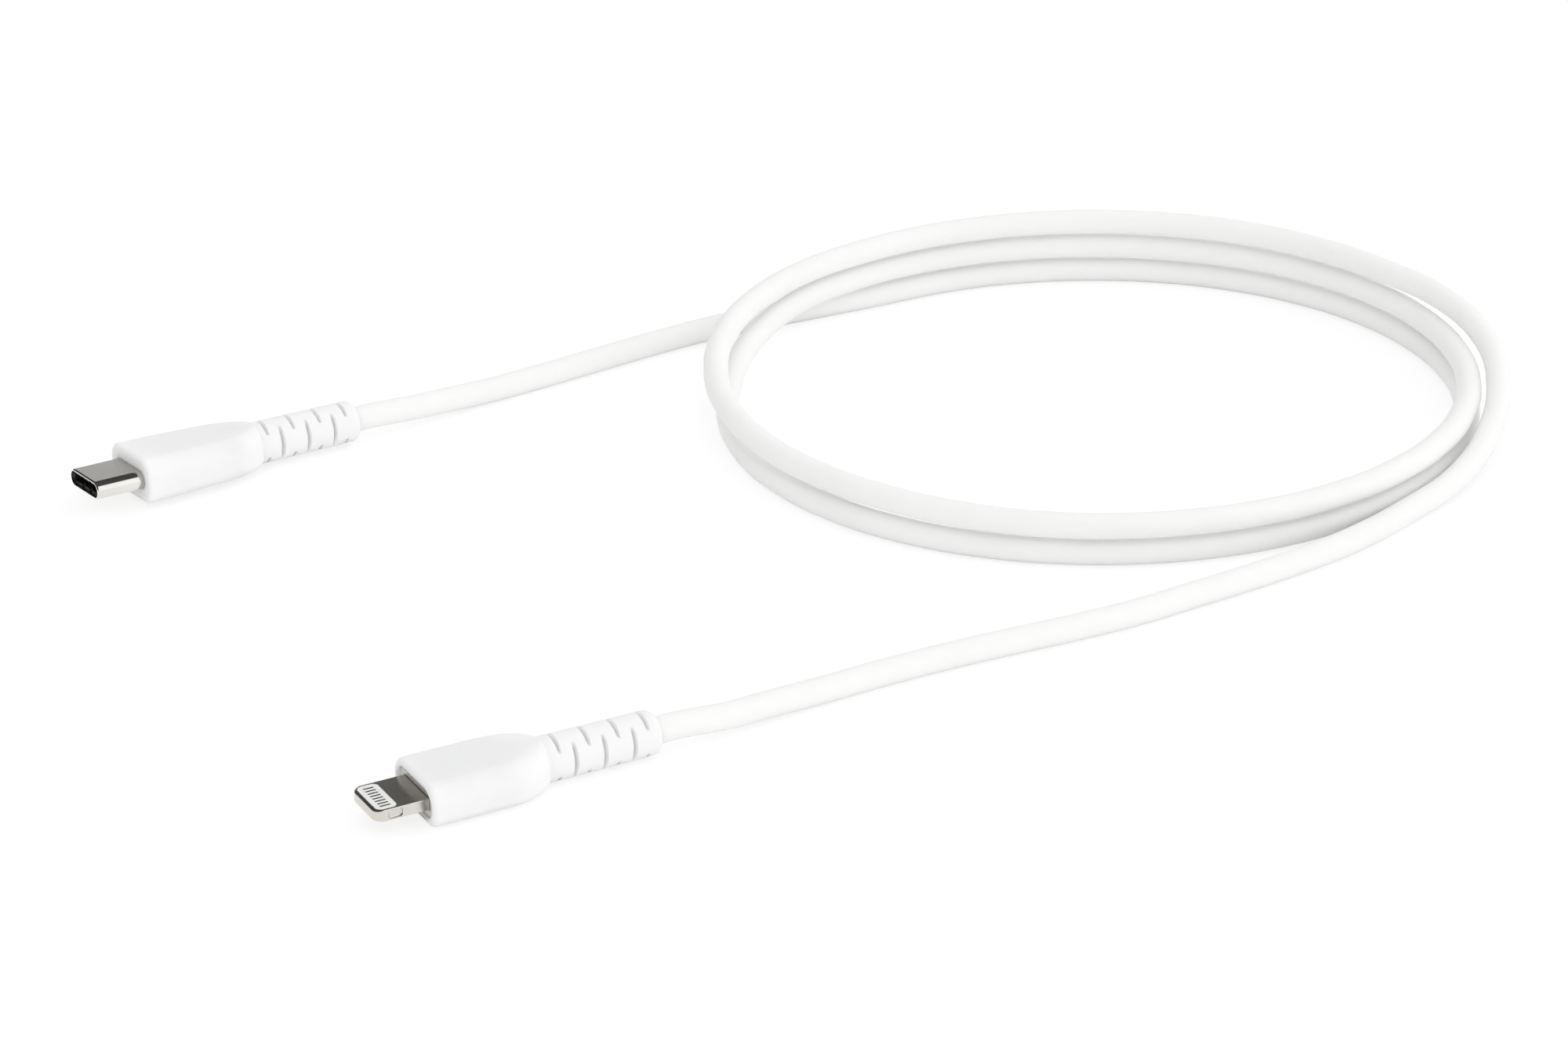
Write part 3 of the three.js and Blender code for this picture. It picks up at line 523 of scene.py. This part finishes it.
# a flat outline extruded upwards, with the corners rounded whose x passes the test
def addRoundedPlate(x0, x1, y0, y1, z0, z1, corner, roundedX=lambda x: True, steps=12):
    deselectAll()
    bpy.ops.mesh.primitive_plane_add(size=1)
    plate = bpy.context.object
    plate.scale = (x1 - x0, y1 - y0, 1)
    plate.location = ((x0 + x1) / 2, (y0 + y1) / 2, z0)
    applyTransform()
    bpy.ops.object.mode_set(mode="EDIT")
    bpy.ops.mesh.select_mode(type="VERT")
    bpy.ops.mesh.select_all(action="DESELECT")
    bpy.ops.object.mode_set(mode="OBJECT")
    for vertex in plate.data.vertices:
        vertex.select = roundedX(vertex.co.x)
    bpy.ops.object.mode_set(mode="EDIT")
    bpy.ops.mesh.bevel(offset=corner, segments=steps, affect="VERTICES")
    bpy.ops.mesh.select_all(action="SELECT")
    bpy.ops.mesh.extrude_region_move(TRANSFORM_OT_translate={"value": (0, 0, z1 - z0)})
    bpy.ops.object.mode_set(mode="OBJECT")
    recalculateNormals(plate)
    return plate


# the moulded grips, built from rings along X

grip = {
    "corner": 2.3,
    "leastCorner": 0.6,
    "shoulder": 5.5,  # length over which the sides round over into the relief
    "shoulderPower": 0.6,
    "slope": 4.6,  # length over which the top slopes down to the relief
    "slopeBefore": 0.9,  # how far in front of the relief that slope ends
    "relief": 5.6, "reliefEnd": 5.4,
    "endRound": 1.1,
    "slots": 4, "slotPitch": 3.8,
    "slotMouth": 0.6, "slotFloor": 0.4,
    "slotPlane": 1.525,  # floor of a slot where it runs out at both ends
    "slotRadius": 2.0,  # and in its middle, round the cable
    "slotSoftness": 0.08,  # rounding of the slots' edges
    "slotSteps": (0.0, 0.12, 0.18, 0.21, 0.24, 0.27, 0.3, 0.33, 0.37, 0.42, 0.5),  # rings each side of a slot
    "leastCosine": 1e-3,  # keeps a slot's plane finite along its own direction
    "rimSteps": 9, "sideSteps": 14, "shoulderSteps": 22,  # rings from front to back
    "ringGap": 0.05,  # least distance of the slots' rings to the relief's ends
    "around": 144,  # points in each ring
    "bore": 1.7,
    "boreRound": 0.25,
    "roundMiddle": 0.3,  # a rounded mouth has a ring at this share of its rounding
    "canRoom": 0.3,  # kept clear of the can's shoulder and taper
    "taperMiddle": 0.6,  # the cavity has a ring at this share of the taper
    "taperNarrowed": 0.53,  # where its width has come down by this share
    "barrelWall": 0.25,  # left between the can's barrel and the first slot
    "openingStep": 0.02,  # the front opening ends this far in front of the can
}
shellGrip = {
    "front": 6.5, "firstSlot": 18.75, "length": 32.35, "end": 17.7,
    "width": 11.5, "height": 6.1, "rearWidth": 10.3, "rearHeight": 5.5, "frontRound": 0.55,
    "opening": (8.28, 2.43), "openingRound": 0.03,
    "can": (9.1, 4.1, 1.05, 10.15, 19.6, 2.8, 4.0),  # width, height, corner, from, to, taper, barrel
}
tabGrip = {
    "front": 6.3, "firstSlot": 17.5, "length": 30.9, "end": 15.95,
    "width": 11.3, "height": 5.35, "rearWidth": 10.6, "rearHeight": 5.6, "frontRound": 0.8,
    "opening": (9.4, 3.8), "openingRound": 0.1,
    "can": (9.3, 4.1, 1.45, 8.05, 16.8, 2.8, 4.0),
}


tiny = 1e-6


# distance from the axis to a rounded rectangle, looking out at an angle
def reach(width, height, corner, angle):
    c = abs(math.cos(angle))
    s = abs(math.sin(angle))
    a, b = width / 2, height / 2
    r = min(corner, a - tiny, b - tiny)
    if c > tiny and a * s / c <= b - r:
        return a / c
    if s > tiny and b * c / s <= a - r:
        return b / s
    along = c * (a - r) + s * (b - r)
    return along + math.sqrt(max(0.0, along ** 2 - (a - r) ** 2 - (b - r) ** 2 + r * r))


def ringPoints(x, width, height, corner):
    points = []
    for i in range(grip["around"]):
        angle = 2 * math.pi * i / grip["around"]
        r = reach(width, height, corner, angle)
        points.append((x, r * math.cos(angle), r * math.sin(angle)))
    return points


# the smaller of two values, rounded over where they are close
def softMin(a, b, softness):
    h = max(softness - abs(a - b), 0.0) / softness
    return min(a, b) - h * h * softness / 4


# how far from the axis a row of slots leaves the surface, looking out from it
def slotLimit(s, first, count, cosine):
    g = grip
    slope = (g["relief"] / 2 - g["slotPlane"]) / ((g["slotMouth"] - g["slotFloor"]) / 2)
    nearest = min(abs(s - first - k * g["slotPitch"]) for k in range(count))
    plane = g["slotPlane"] + slope * max(0.0, nearest - g["slotFloor"] / 2)
    return -softMin(-g["slotRadius"], -plane / max(cosine, g["leastCosine"]), g["slotSoftness"])


def carveSlots(points, s, plug):
    g = grip
    carved = []
    for x, y, z in points:
        r = math.hypot(y, z)
        overTop = slotLimit(s, plug["firstSlot"], g["slots"], abs(z) / r)
        overSides = slotLimit(s, plug["firstSlot"] + g["slotPitch"] / 2, g["slots"] - 1, abs(y) / r)
        left = softMin(r, min(overTop, overSides), g["slotSoftness"]) / r
        carved.append((x, y * left, z * left))
    return carved


# width, height and corner at a distance from the front, drawn in by the inset
def gripSection(plug, s, inset):
    g = grip
    u = min(1.0, max(0.0, 1 - (plug["end"] - s) / g["shoulder"]))
    wide = (1 - u * u) ** g["shoulderPower"]
    slopeEnd = plug["end"] - g["slopeBefore"]
    high = 1 - smoothStep(s, slopeEnd - g["slope"], slopeEnd)
    along = min(1.0, s / (plug["end"] - g["shoulder"] / 2))
    tail = max(0.0, (s - plug["end"]) / (plug["length"] - plug["end"]))
    relief = g["relief"] + (g["reliefEnd"] - g["relief"]) * tail
    width = plug["width"] + (plug["rearWidth"] - plug["width"]) * along ** 2
    height = plug["height"] + (plug["rearHeight"] - plug["height"]) * along
    width = relief + (width - relief) * wide
    height = relief + (height - relief) * high
    corner = g["relief"] / 2 + (g["corner"] - g["relief"] / 2) * wide
    return width - 2 * inset, height - 2 * inset, max(corner - inset, g["leastCorner"])


# distance from the front and inset of each outer ring
def outerStations(plug):
    g = grip
    rim = plug["frontRound"]
    quarter = [math.pi / 2 * k / g["rimSteps"] for k in range(g["rimSteps"] + 1)]
    stations = [(rim * (1 - math.cos(a)), rim * (1 - math.sin(a))) for a in quarter]
    start = plug["end"] - g["shoulder"]
    for k in range(1, g["sideSteps"] + 1):
        stations.append((rim + (start - rim) * k / g["sideSteps"], 0.0))
    for k in range(1, g["shoulderSteps"] + 1):
        stations.append((start + g["shoulder"] * math.sin(math.pi / 2 * k / g["shoulderSteps"]), 0.0))
    last = plug["length"] - g["endRound"]
    centres = [plug["firstSlot"] + k * g["slotPitch"] / 2 for k in range(2 * g["slots"] - 1)]
    offsets = [side * step for side in (-1, 1) for step in g["slotSteps"]]
    places = {round(centre + offset, 4) for centre in centres for offset in offsets}
    gap = g["ringGap"]
    stations += [(s, 0.0) for s in sorted(places) if plug["end"] + gap < s < last - gap]
    stations.append((last, 0.0))
    for a in quarter[1:]:
        stations.append((last + g["endRound"] * math.sin(a), g["endRound"] * (1 - math.cos(a))))
    return stations


# all rings of a grip: its outside, the cable's bore, the cavity round the can and the front opening
def gripRings(plug):
    g = grip
    rings = []
    for s, inset in outerStations(plug):
        points = ringPoints(plug["front"] + s, *gripSection(plug, s, inset))
        if s > plug["end"]:
            points = carveSlots(points, s, plug)
        rings.append(points)
    end = plug["front"] + plug["length"]
    bore = 2 * g["bore"]
    soft, middle = g["boreRound"], g["roundMiddle"]
    for x, grow in ((end, soft), (end - soft * middle, soft * middle), (end - soft, 0.0)):
        rings.append(ringPoints(x, bore + 2 * grow, bore + 2 * grow, bore / 2 + grow))
    width, height, corner, start, stop, taper, barrel = plug["can"]
    barrelEnd = plug["front"] + plug["firstSlot"] - g["slotMouth"] / 2 - g["barrelWall"]
    room = g["canRoom"]
    narrowed = width + (barrel - width) * g["taperNarrowed"]
    inner = [
        (barrelEnd, bore, bore, bore / 2),
        (barrelEnd, barrel, barrel, barrel / 2),
        (stop + taper + room, barrel, barrel, barrel / 2),
        (stop + taper * g["taperMiddle"], narrowed, barrel + room, (barrel + room) / 2),
        (stop + room, width, height, corner),
        (start, width, height, corner),
    ]
    rings += [ringPoints(x, w, h, r) for x, w, h, r in inner]
    openWidth, openHeight = plug["opening"]
    soft = plug["openingRound"]
    for x, grow in ((start - g["openingStep"], 0.0), (plug["front"] + soft, 0.0),
                    (plug["front"] + soft * middle, soft * middle), (plug["front"], soft)):
        rings.append(ringPoints(x, openWidth + 2 * grow, openHeight + 2 * grow, openHeight / 2 + grow))
    return rings


# a torus has the faces of a closed row of rings, so only its points are moved
def makeGrip(name, plug, plugMatrix, replaced):
    rings = gripRings(plug)
    deselectAll()
    bpy.ops.mesh.primitive_torus_add(major_segments=len(rings), minor_segments=grip["around"])
    piece = bpy.context.object
    points = [c for ring in rings for p in ring for c in p]
    piece.data.vertices.foreach_set("co", points)
    piece.data.update()
    faceOutwards(piece)
    smoothByAngle(piece, 40)
    finishPiece(piece, name, plugMatrix, "moulding", "moulding", replaced)


makeGrip("shellPlugGrip", shellGrip, shellPlugMatrix, "shell_plug_overmould")
makeGrip("tabPlugGrip", tabGrip, tabPlugMatrix, "tab_plug_overmould")


# the drawn shell of the first plug

shellSizes = {
    "width": 8.25, "height": 2.4, "wall": 0.25, "length": 11.4,
    "outerRim": 0.225, "innerRim": 0.02, "rimSteps": 6,  # rounding of the mouth's two edges
}


# distance from the line between the centres of an oval's two ends
def ovalRadius(point, sizes):
    apart = (sizes["width"] - sizes["height"]) / 2
    return math.hypot(max(0.0, abs(point.y) - apart), point.z)


def makeShell():
    s = shellSizes
    piece = addOvalBar(0, s["length"], s["width"], s["height"], filled=False)
    recalculateNormals(piece)
    modify(piece, "SOLIDIFY", thickness=s["wall"], offset=-1)
    middle = s["height"] / 2 - s["wall"] / 2

    def onRim(a, b, outside):
        atMouth = abs(a.x - b.x) < levelWithin and a.x < endWithin
        return atMouth and all((ovalRadius(point, s) > middle) == outside for point in (a, b))

    roundEdges(piece, s["outerRim"], s["rimSteps"], lambda a, b: onRim(a, b, True))
    roundEdges(piece, s["innerRim"], s["rimSteps"], lambda a, b: onRim(a, b, False))
    smoothByAngle(piece, 40)
    finishPiece(piece, "shellPlugShell", shellPlugMatrix, "shellNickel", "shell_nickel", "shell_plug_shell")


makeShell()


# the tab of the second plug

tabSizes = {
    "width": 6.7, "thickness": 1.5, "length": 9.2, "frontCorner": 1.2,
    "edge": 0.13, "frontEdge": 0.34, "edgeSteps": 7,
    "windowFrom": 0.38, "windowTo": 3.08, "windowHalf": 3.1, "windowCorner": 0.8,
    "windowCut": 2.0,  # how far above and below the middle its cutter reaches
    "notchFrom": 1.6, "notchTo": 3.42, "notchDepth": 0.3, "notchHeight": 1.1,
    "notchCorner": 0.36, "notchCornerSteps": 8,
    "notchRound": 0.2, "notchRoundSteps": 6,
    "notchRise": 0.2,  # how much shallower it is towards the tip
    "tunnelHalf": 2.8, "tunnelHeight": 0.84,
    "tunnelBefore": 0.5,  # its cutter starts this far inside the window
}


# a rounded scoop that deepens away from the tip
def addNotchCutter(side):
    t = tabSizes
    outer = t["width"] / 2
    half = t["notchHeight"] / 2
    low, high = sorted((side * (outer - t["notchDepth"]), side * (outer + past)))
    scoop = addBox((t["notchFrom"], low, -half), (t["notchTo"], high, half))
    roundEdges(scoop, t["notchCorner"], t["notchCornerSteps"],
               lambda a, b: abs(a.x - b.x) < levelWithin and abs(a.z - b.z) < levelWithin)
    roundEdges(scoop, t["notchRound"], t["notchRoundSteps"],
               lambda a, b: abs(a.y) < outer and abs(b.y) < outer)
    for vertex in scoop.data.vertices:
        if abs(vertex.co.y) < outer + past / 2:
            towardsTip = (t["notchTo"] - vertex.co.x) / (t["notchTo"] - t["notchFrom"])
            vertex.co.y += side * t["notchRise"] * towardsTip
    recalculateNormals(scoop)
    return scoop


# the rim is rounded more in front than along the sides
def roundTabRim(piece):
    t = tabSizes
    weights = piece.data.attributes.new("bevel_weight_edge", "FLOAT", "EDGE")
    for edge in piece.data.edges:
        a, b = (piece.data.vertices[i].co for i in edge.vertices)
        if abs(a.z - b.z) < levelWithin and min(a.x, b.x) < t["length"] - endWithin:
            alongSide = smoothStep((a.x + b.x) / 2, 0, t["frontCorner"])
            weights.data[edge.index].value = 1 + (t["edge"] / t["frontEdge"] - 1) * alongSide
    modify(piece, "BEVEL", width=t["frontEdge"], segments=t["edgeSteps"], limit_method="WEIGHT")


def makeTabFrame():
    t = tabSizes
    half = t["thickness"] / 2
    piece = addRoundedPlate(0, t["length"], -t["width"] / 2, t["width"] / 2, -half, half,
                            t["frontCorner"], lambda x: x < t["length"] / 2)
    roundTabRim(piece)
    window = addRoundedPlate(t["windowFrom"], t["windowTo"], -t["windowHalf"], t["windowHalf"],
                             -t["windowCut"], t["windowCut"], t["windowCorner"])
    tunnel = addBox((t["windowTo"] - t["tunnelBefore"], -t["tunnelHalf"], -t["tunnelHeight"] / 2),
                    (t["length"] + past, t["tunnelHalf"], t["tunnelHeight"] / 2))
    notches = [addNotchCutter(side) for side in (-1, 1)]
    cutWith(piece, [window, tunnel, *notches])
    smoothByAngle(piece, 35)
    finishPiece(piece, "tabPlugFrame", tabPlugMatrix, "tabNickel", "tab_nickel", "tab_plug_frame")


makeTabFrame()


# the white insert in its window, and the contacts in the insert

insertSizes = {
    "gap": 0.045, "top": 0.735, "edge": 0.05, "edgeSteps": 3,
    "slotFrom": 0.8, "slotHalf": 2.75, "slotHeight": 0.8,  # hollow for the board's nose
    "count": 8, "pitch": 0.65, "contactWidth": 0.25, "contactFrom": 1.04, "contactTo": 2.38,
    "contactTop": 0.72, "contactFloor": 0.37, "contactEdge": 0.03,
    "contactRound": 0.98,  # corner of its ends, as a share of half its width
    "room": 0.02,  # between a contact and the sides of its pocket
    "pocketDeeper": 0.05,  # than the contact
    "pocketCut": 1.2,  # height that the pockets' cutters reach
}


def contactPlace(k):
    return ((insertSizes["count"] - 1) / 2 - k) * insertSizes["pitch"]


# a contact's outline, lying along X, grown on all sides
def addContactBar(y, z0, z1, grow):
    n = insertSizes
    half = n["contactWidth"] / 2 + grow
    return addRoundedPlate(n["contactFrom"] - grow, n["contactTo"] + grow, y - half, y + half, z0, z1,
                           half * n["contactRound"])


# the rims that lie this far above or below the middle
def roundRims(piece, radius, height):
    roundEdges(piece, radius, insertSizes["edgeSteps"],
               lambda a, b: abs(a.z - b.z) < levelWithin and abs(abs(a.z) - height) < levelWithin)


def makeInsert():
    n, t = insertSizes, tabSizes
    half = t["windowHalf"] - n["gap"]
    piece = addRoundedPlate(t["windowFrom"] + n["gap"], t["windowTo"] - n["gap"], -half, half,
                            -n["top"], n["top"], t["windowCorner"] - n["gap"])
    roundRims(piece, n["edge"], n["top"])
    cutters = [addBox((n["slotFrom"], -n["slotHalf"], -n["slotHeight"] / 2),
                      (t["windowTo"] + past, n["slotHalf"], n["slotHeight"] / 2))]
    floor = n["contactFloor"] - n["pocketDeeper"]
    for k in range(n["count"]):
        cutters.append(addContactBar(contactPlace(k), floor, n["pocketCut"], n["room"]))
        cutters.append(addContactBar(contactPlace(k), -n["pocketCut"], -floor, n["room"]))
    cutWith(piece, cutters)
    smoothByAngle(piece, 35)
    finishPiece(piece, "tabPlugInsert", tabPlugMatrix, "insulatorWhite", "insulator_white",
                "tab_plug_insulator")


def makeContacts():
    n = insertSizes
    first = addContactBar(0.0, n["contactFloor"], n["contactTop"], 0.0)
    roundRims(first, n["contactEdge"], n["contactTop"])
    smoothByAngle(first, 35)
    for k in range(n["count"]):
        for name, turn in (("upper", 0.0), ("lower", math.pi)):
            contact = first.copy()
            contact.data = first.data.copy()
            bpy.context.scene.collection.objects.link(contact)
            contact.rotation_euler = (turn, 0, 0)
            contact.location = (0, contactPlace(k), 0)
            finishPiece(contact, f"tabPlugContact{name.title()}{k + 1}", tabPlugMatrix, "contactDark",
                        "contact_gold", f"tab_plug_contact_{name}_{k + 1}")
    bpy.data.objects.remove(first)


makeInsert()
makeContacts()


# the oval steel face that the tab comes through

collarSizes = {
    "width": 9.1, "height": 3.5, "start": 6.7, "thickness": 1.2,
    "gap": 0.1,  # round the tab
    "cutLength": 3.0,
    "edge": 0.08, "edgeSteps": 3,
}


def makeCollar():
    c, t = collarSizes, tabSizes
    piece = addOvalBar(c["start"], c["start"] + c["thickness"], c["width"], c["height"], filled=True)
    halfWidth = t["width"] / 2 + c["gap"]
    halfHeight = t["thickness"] / 2 + c["gap"]
    hole = addBox((c["start"] - past, -halfWidth, -halfHeight),
                  (c["start"] + c["cutLength"], halfWidth, halfHeight))
    cutWith(piece, [hole])
    roundEdges(piece, c["edge"], c["edgeSteps"],
               lambda a, b: abs(a.x - b.x) < levelWithin and a.x < c["start"] + endWithin)
    smoothByAngle(piece, 40)
    finishPiece(piece, "tabPlugCollar", tabPlugMatrix, "collarNickel", "collar_nickel", "tab_plug_collar")


makeCollar()


# finishes of the pieces that stay as packed, by their slots

slotFinishes = {
    "jacket": "jacket", "moulding": "moulding", "shell_nickel": "shellNickel",
    "tab_nickel": "tabNickel", "collar_nickel": "collarNickel", "spring_steel": "springSteelPaintedShade",
    "can_steel": "canSteel", "contact_gold": "contactGold", "contact_carrier": "carrierBlack",
    "insulator_white": "insulatorWhite", "inner_mould": "innerMould", "circuit_board": "boardGreen",
    "component_black": "componentBlack", "wire_red": "wireRed", "wire_white": "wireWhite",
    "wire_green": "wireGreen", "wire_black": "wireBlack",
}


def finishNodes():
    for entry in frame["record"]["subparts"]:
        node = nodes[entry["node"]]
        material = finishes[slotFinishes[entry["material_slot"]]]
        for slot in node.material_slots:
            slot.material = material
        if not node.material_slots:
            node.data.materials.append(material)


finishNodes()
cablePiece.data.materials.append(finishes["jacket"])
print("finishes set")


# floor, world and lamps

studio = {
    "floorHalf": 3.0,  # m
    "floorColour": 1.0,
    "floorShown": 0.3,  # how much of the lit floor shows
    "floorGlow": 0.74,  # and how much plain white is added to it
    "skyLow": 1.03,  # soft light from near the horizon
    "skyHigh": 1.26,  # and from straight above
    "skyRight": 0.26,  # how much brighter it is to the right, and darker to the left
    # height and brightness of the surroundings that polished metal mirrors
    "mirrored": ((0.0, 0.95), (0.3, 0.53), (0.35, 0.47), (0.4, 0.09), (0.75, 0.04), (1.0, 0.06)),
    "mirroredLeft": 0.5,  # how much lower they darken to the left
    # a bright panel among them, by the cosine to its direction where it fades in and is full
    "panel": {"towards": (0.855, -0.453, 0.252), "outer": 0.72, "inner": 0.79, "level": 1.15},
    "polishedBelow": 0.5,  # metal mirrors them only where no diffuse bounce came first
    "lampAim": (0.06, 0.02, 0),
    "lamps": {
        "key": {"place": (0.85, -0.1, 0.75), "size": 0.6, "power": 0.3},
        "fill": {"place": (0.15, -1.05, 0.4), "size": 0.9, "power": 1.1},
    },
}


# the floor lights the cable as plain white, and shows evenly bright with soft shadows
def makeFloor():
    deselectAll()
    bpy.ops.mesh.primitive_plane_add(size=2 * studio["floorHalf"])
    floor = bpy.context.object
    floor.name = "floor"
    material = bpy.data.materials.new("floorWhite")
    material.use_nodes = True
    tree = material.node_tree
    tree.nodes.clear()
    add, link = tree.nodes.new, tree.links.new
    out = add("ShaderNodeOutputMaterial")
    plain = add("ShaderNodeBsdfDiffuse")
    setInputs(plain, {"Color": grey(studio["floorColour"])})
    shown = add("ShaderNodeBsdfDiffuse")
    setInputs(shown, {"Color": grey(studio["floorShown"])})
    glow = add("ShaderNodeEmission")
    setInputs(glow, {"Strength": studio["floorGlow"]})
    both = add("ShaderNodeAddShader")
    path = add("ShaderNodeLightPath")
    seen = addMath(tree, "MAXIMUM")
    seenThrough = addMath(tree, "MAXIMUM")
    mix = add("ShaderNodeMixShader")
    link(shown.outputs[0], both.inputs[0])
    link(glow.outputs[0], both.inputs[1])
    link(path.outputs["Is Camera Ray"], seen.inputs[0])
    link(path.outputs["Is Glossy Ray"], seen.inputs[1])
    link(seen.outputs[0], seenThrough.inputs[0])
    link(path.outputs["Is Transmission Ray"], seenThrough.inputs[1])
    link(seenThrough.outputs[0], mix.inputs[0])
    link(plain.outputs[0], mix.inputs[1])
    link(both.outputs[0], mix.inputs[2])
    link(mix.outputs[0], out.inputs["Surface"])
    floor.data.materials.append(material)


# brightness of the soft sky by direction
def addSky(tree, parts):
    link = tree.links.new
    soft = tree.nodes.new("ShaderNodeMapRange")
    setInputs(soft, {"To Min": studio["skyLow"], "To Max": studio["skyHigh"]})
    rightwards = addMath(tree, "MULTIPLY_ADD", None, studio["skyRight"], 1.0)
    strength = addMath(tree, "MULTIPLY")
    sky = tree.nodes.new("ShaderNodeBackground")
    link(parts.outputs["Z"], soft.inputs["Value"])
    link(parts.outputs["X"], rightwards.inputs[0])
    link(soft.outputs["Result"], strength.inputs[0])
    link(rightwards.outputs[0], strength.inputs[1])
    link(strength.outputs[0], sky.inputs["Strength"])
    return sky


# surroundings that polished metal mirrors, with the bright panel among them
def addSurroundings(tree, coords, parts):
    add, link = tree.nodes.new, tree.links.new
    ramp = add("ShaderNodeValToRGB")
    stops = ramp.color_ramp.elements
    levels = studio["mirrored"]
    for _ in levels[2:]:
        stops.new(0.5)
    for stop, (height, level) in zip(stops, levels):
        stop.position = height
        stop.color = grey(level)
    leftwards = addMath(tree, "MINIMUM", None, 0.0)
    raised = addMath(tree, "MULTIPLY_ADD", None, -studio["mirroredLeft"])
    link(parts.outputs["X"], leftwards.inputs[0])
    link(leftwards.outputs[0], raised.inputs[0])
    link(parts.outputs["Z"], raised.inputs[2])
    link(raised.outputs[0], ramp.inputs["Fac"])
    panel = studio["panel"]
    facing = add("ShaderNodeVectorMath")
    facing.operation = "DOT_PRODUCT"
    facing.inputs[1].default_value = panel["towards"]
    inside = add("ShaderNodeMapRange")
    setInputs(inside, {"From Min": panel["outer"], "From Max": panel["inner"]})
    pane = addColourMix(tree, "MIX")
    setInputs(pane, {"B": grey(panel["level"])})
    surroundings = add("ShaderNodeBackground")
    link(coords.outputs["Generated"], facing.inputs[0])
    link(facing.outputs["Value"], inside.inputs["Value"])
    link(inside.outputs["Result"], pane.inputs["Factor"])
    link(ramp.outputs["Color"], pane.inputs["A"])
    link(pane.outputs["Result"], surroundings.inputs["Color"])
    return surroundings


# the camera sees a plain background, polished metal the surroundings, and all else the soft sky
def makeWorld():
    world = bpy.data.worlds.new("studioWorld")
    bpy.context.scene.world = world
    world.use_nodes = True
    tree = world.node_tree
    tree.nodes.clear()
    add, link = tree.nodes.new, tree.links.new
    out = add("ShaderNodeOutputWorld")
    path = add("ShaderNodeLightPath")
    coords = add("ShaderNodeTexCoord")
    parts = add("ShaderNodeSeparateXYZ")
    link(coords.outputs["Generated"], parts.inputs[0])
    sky = addSky(tree, parts)
    surroundings = addSurroundings(tree, coords, parts)
    plain = add("ShaderNodeBackground")
    direct = addMath(tree, "LESS_THAN", None, studio["polishedBelow"])
    polished = addMath(tree, "MULTIPLY")
    lit = add("ShaderNodeMixShader")
    seen = add("ShaderNodeMixShader")
    link(path.outputs["Diffuse Depth"], direct.inputs[0])
    link(direct.outputs[0], polished.inputs[0])
    link(path.outputs["Is Glossy Ray"], polished.inputs[1])
    link(polished.outputs[0], lit.inputs[0])
    link(sky.outputs[0], lit.inputs[1])
    link(surroundings.outputs[0], lit.inputs[2])
    link(path.outputs["Is Camera Ray"], seen.inputs[0])
    link(lit.outputs[0], seen.inputs[1])
    link(plain.outputs[0], seen.inputs[2])
    link(seen.outputs[0], out.inputs["Surface"])


def makeLamps():
    for name, lamp in studio["lamps"].items():
        data = bpy.data.lights.new(name, "AREA")
        data.energy = lamp["power"]
        data.size = lamp["size"]
        light = bpy.data.objects.new(name, data)
        light.location = lamp["place"]
        towards = Vector(studio["lampAim"]) - Vector(lamp["place"])
        light.rotation_euler = towards.to_track_quat("-Z", "Y").to_euler()
        light.visible_glossy = False
        bpy.context.scene.collection.objects.link(light)


makeFloor()
makeWorld()
makeLamps()
bpy.context.scene.view_settings.view_transform = "Standard"
print("studio lit")
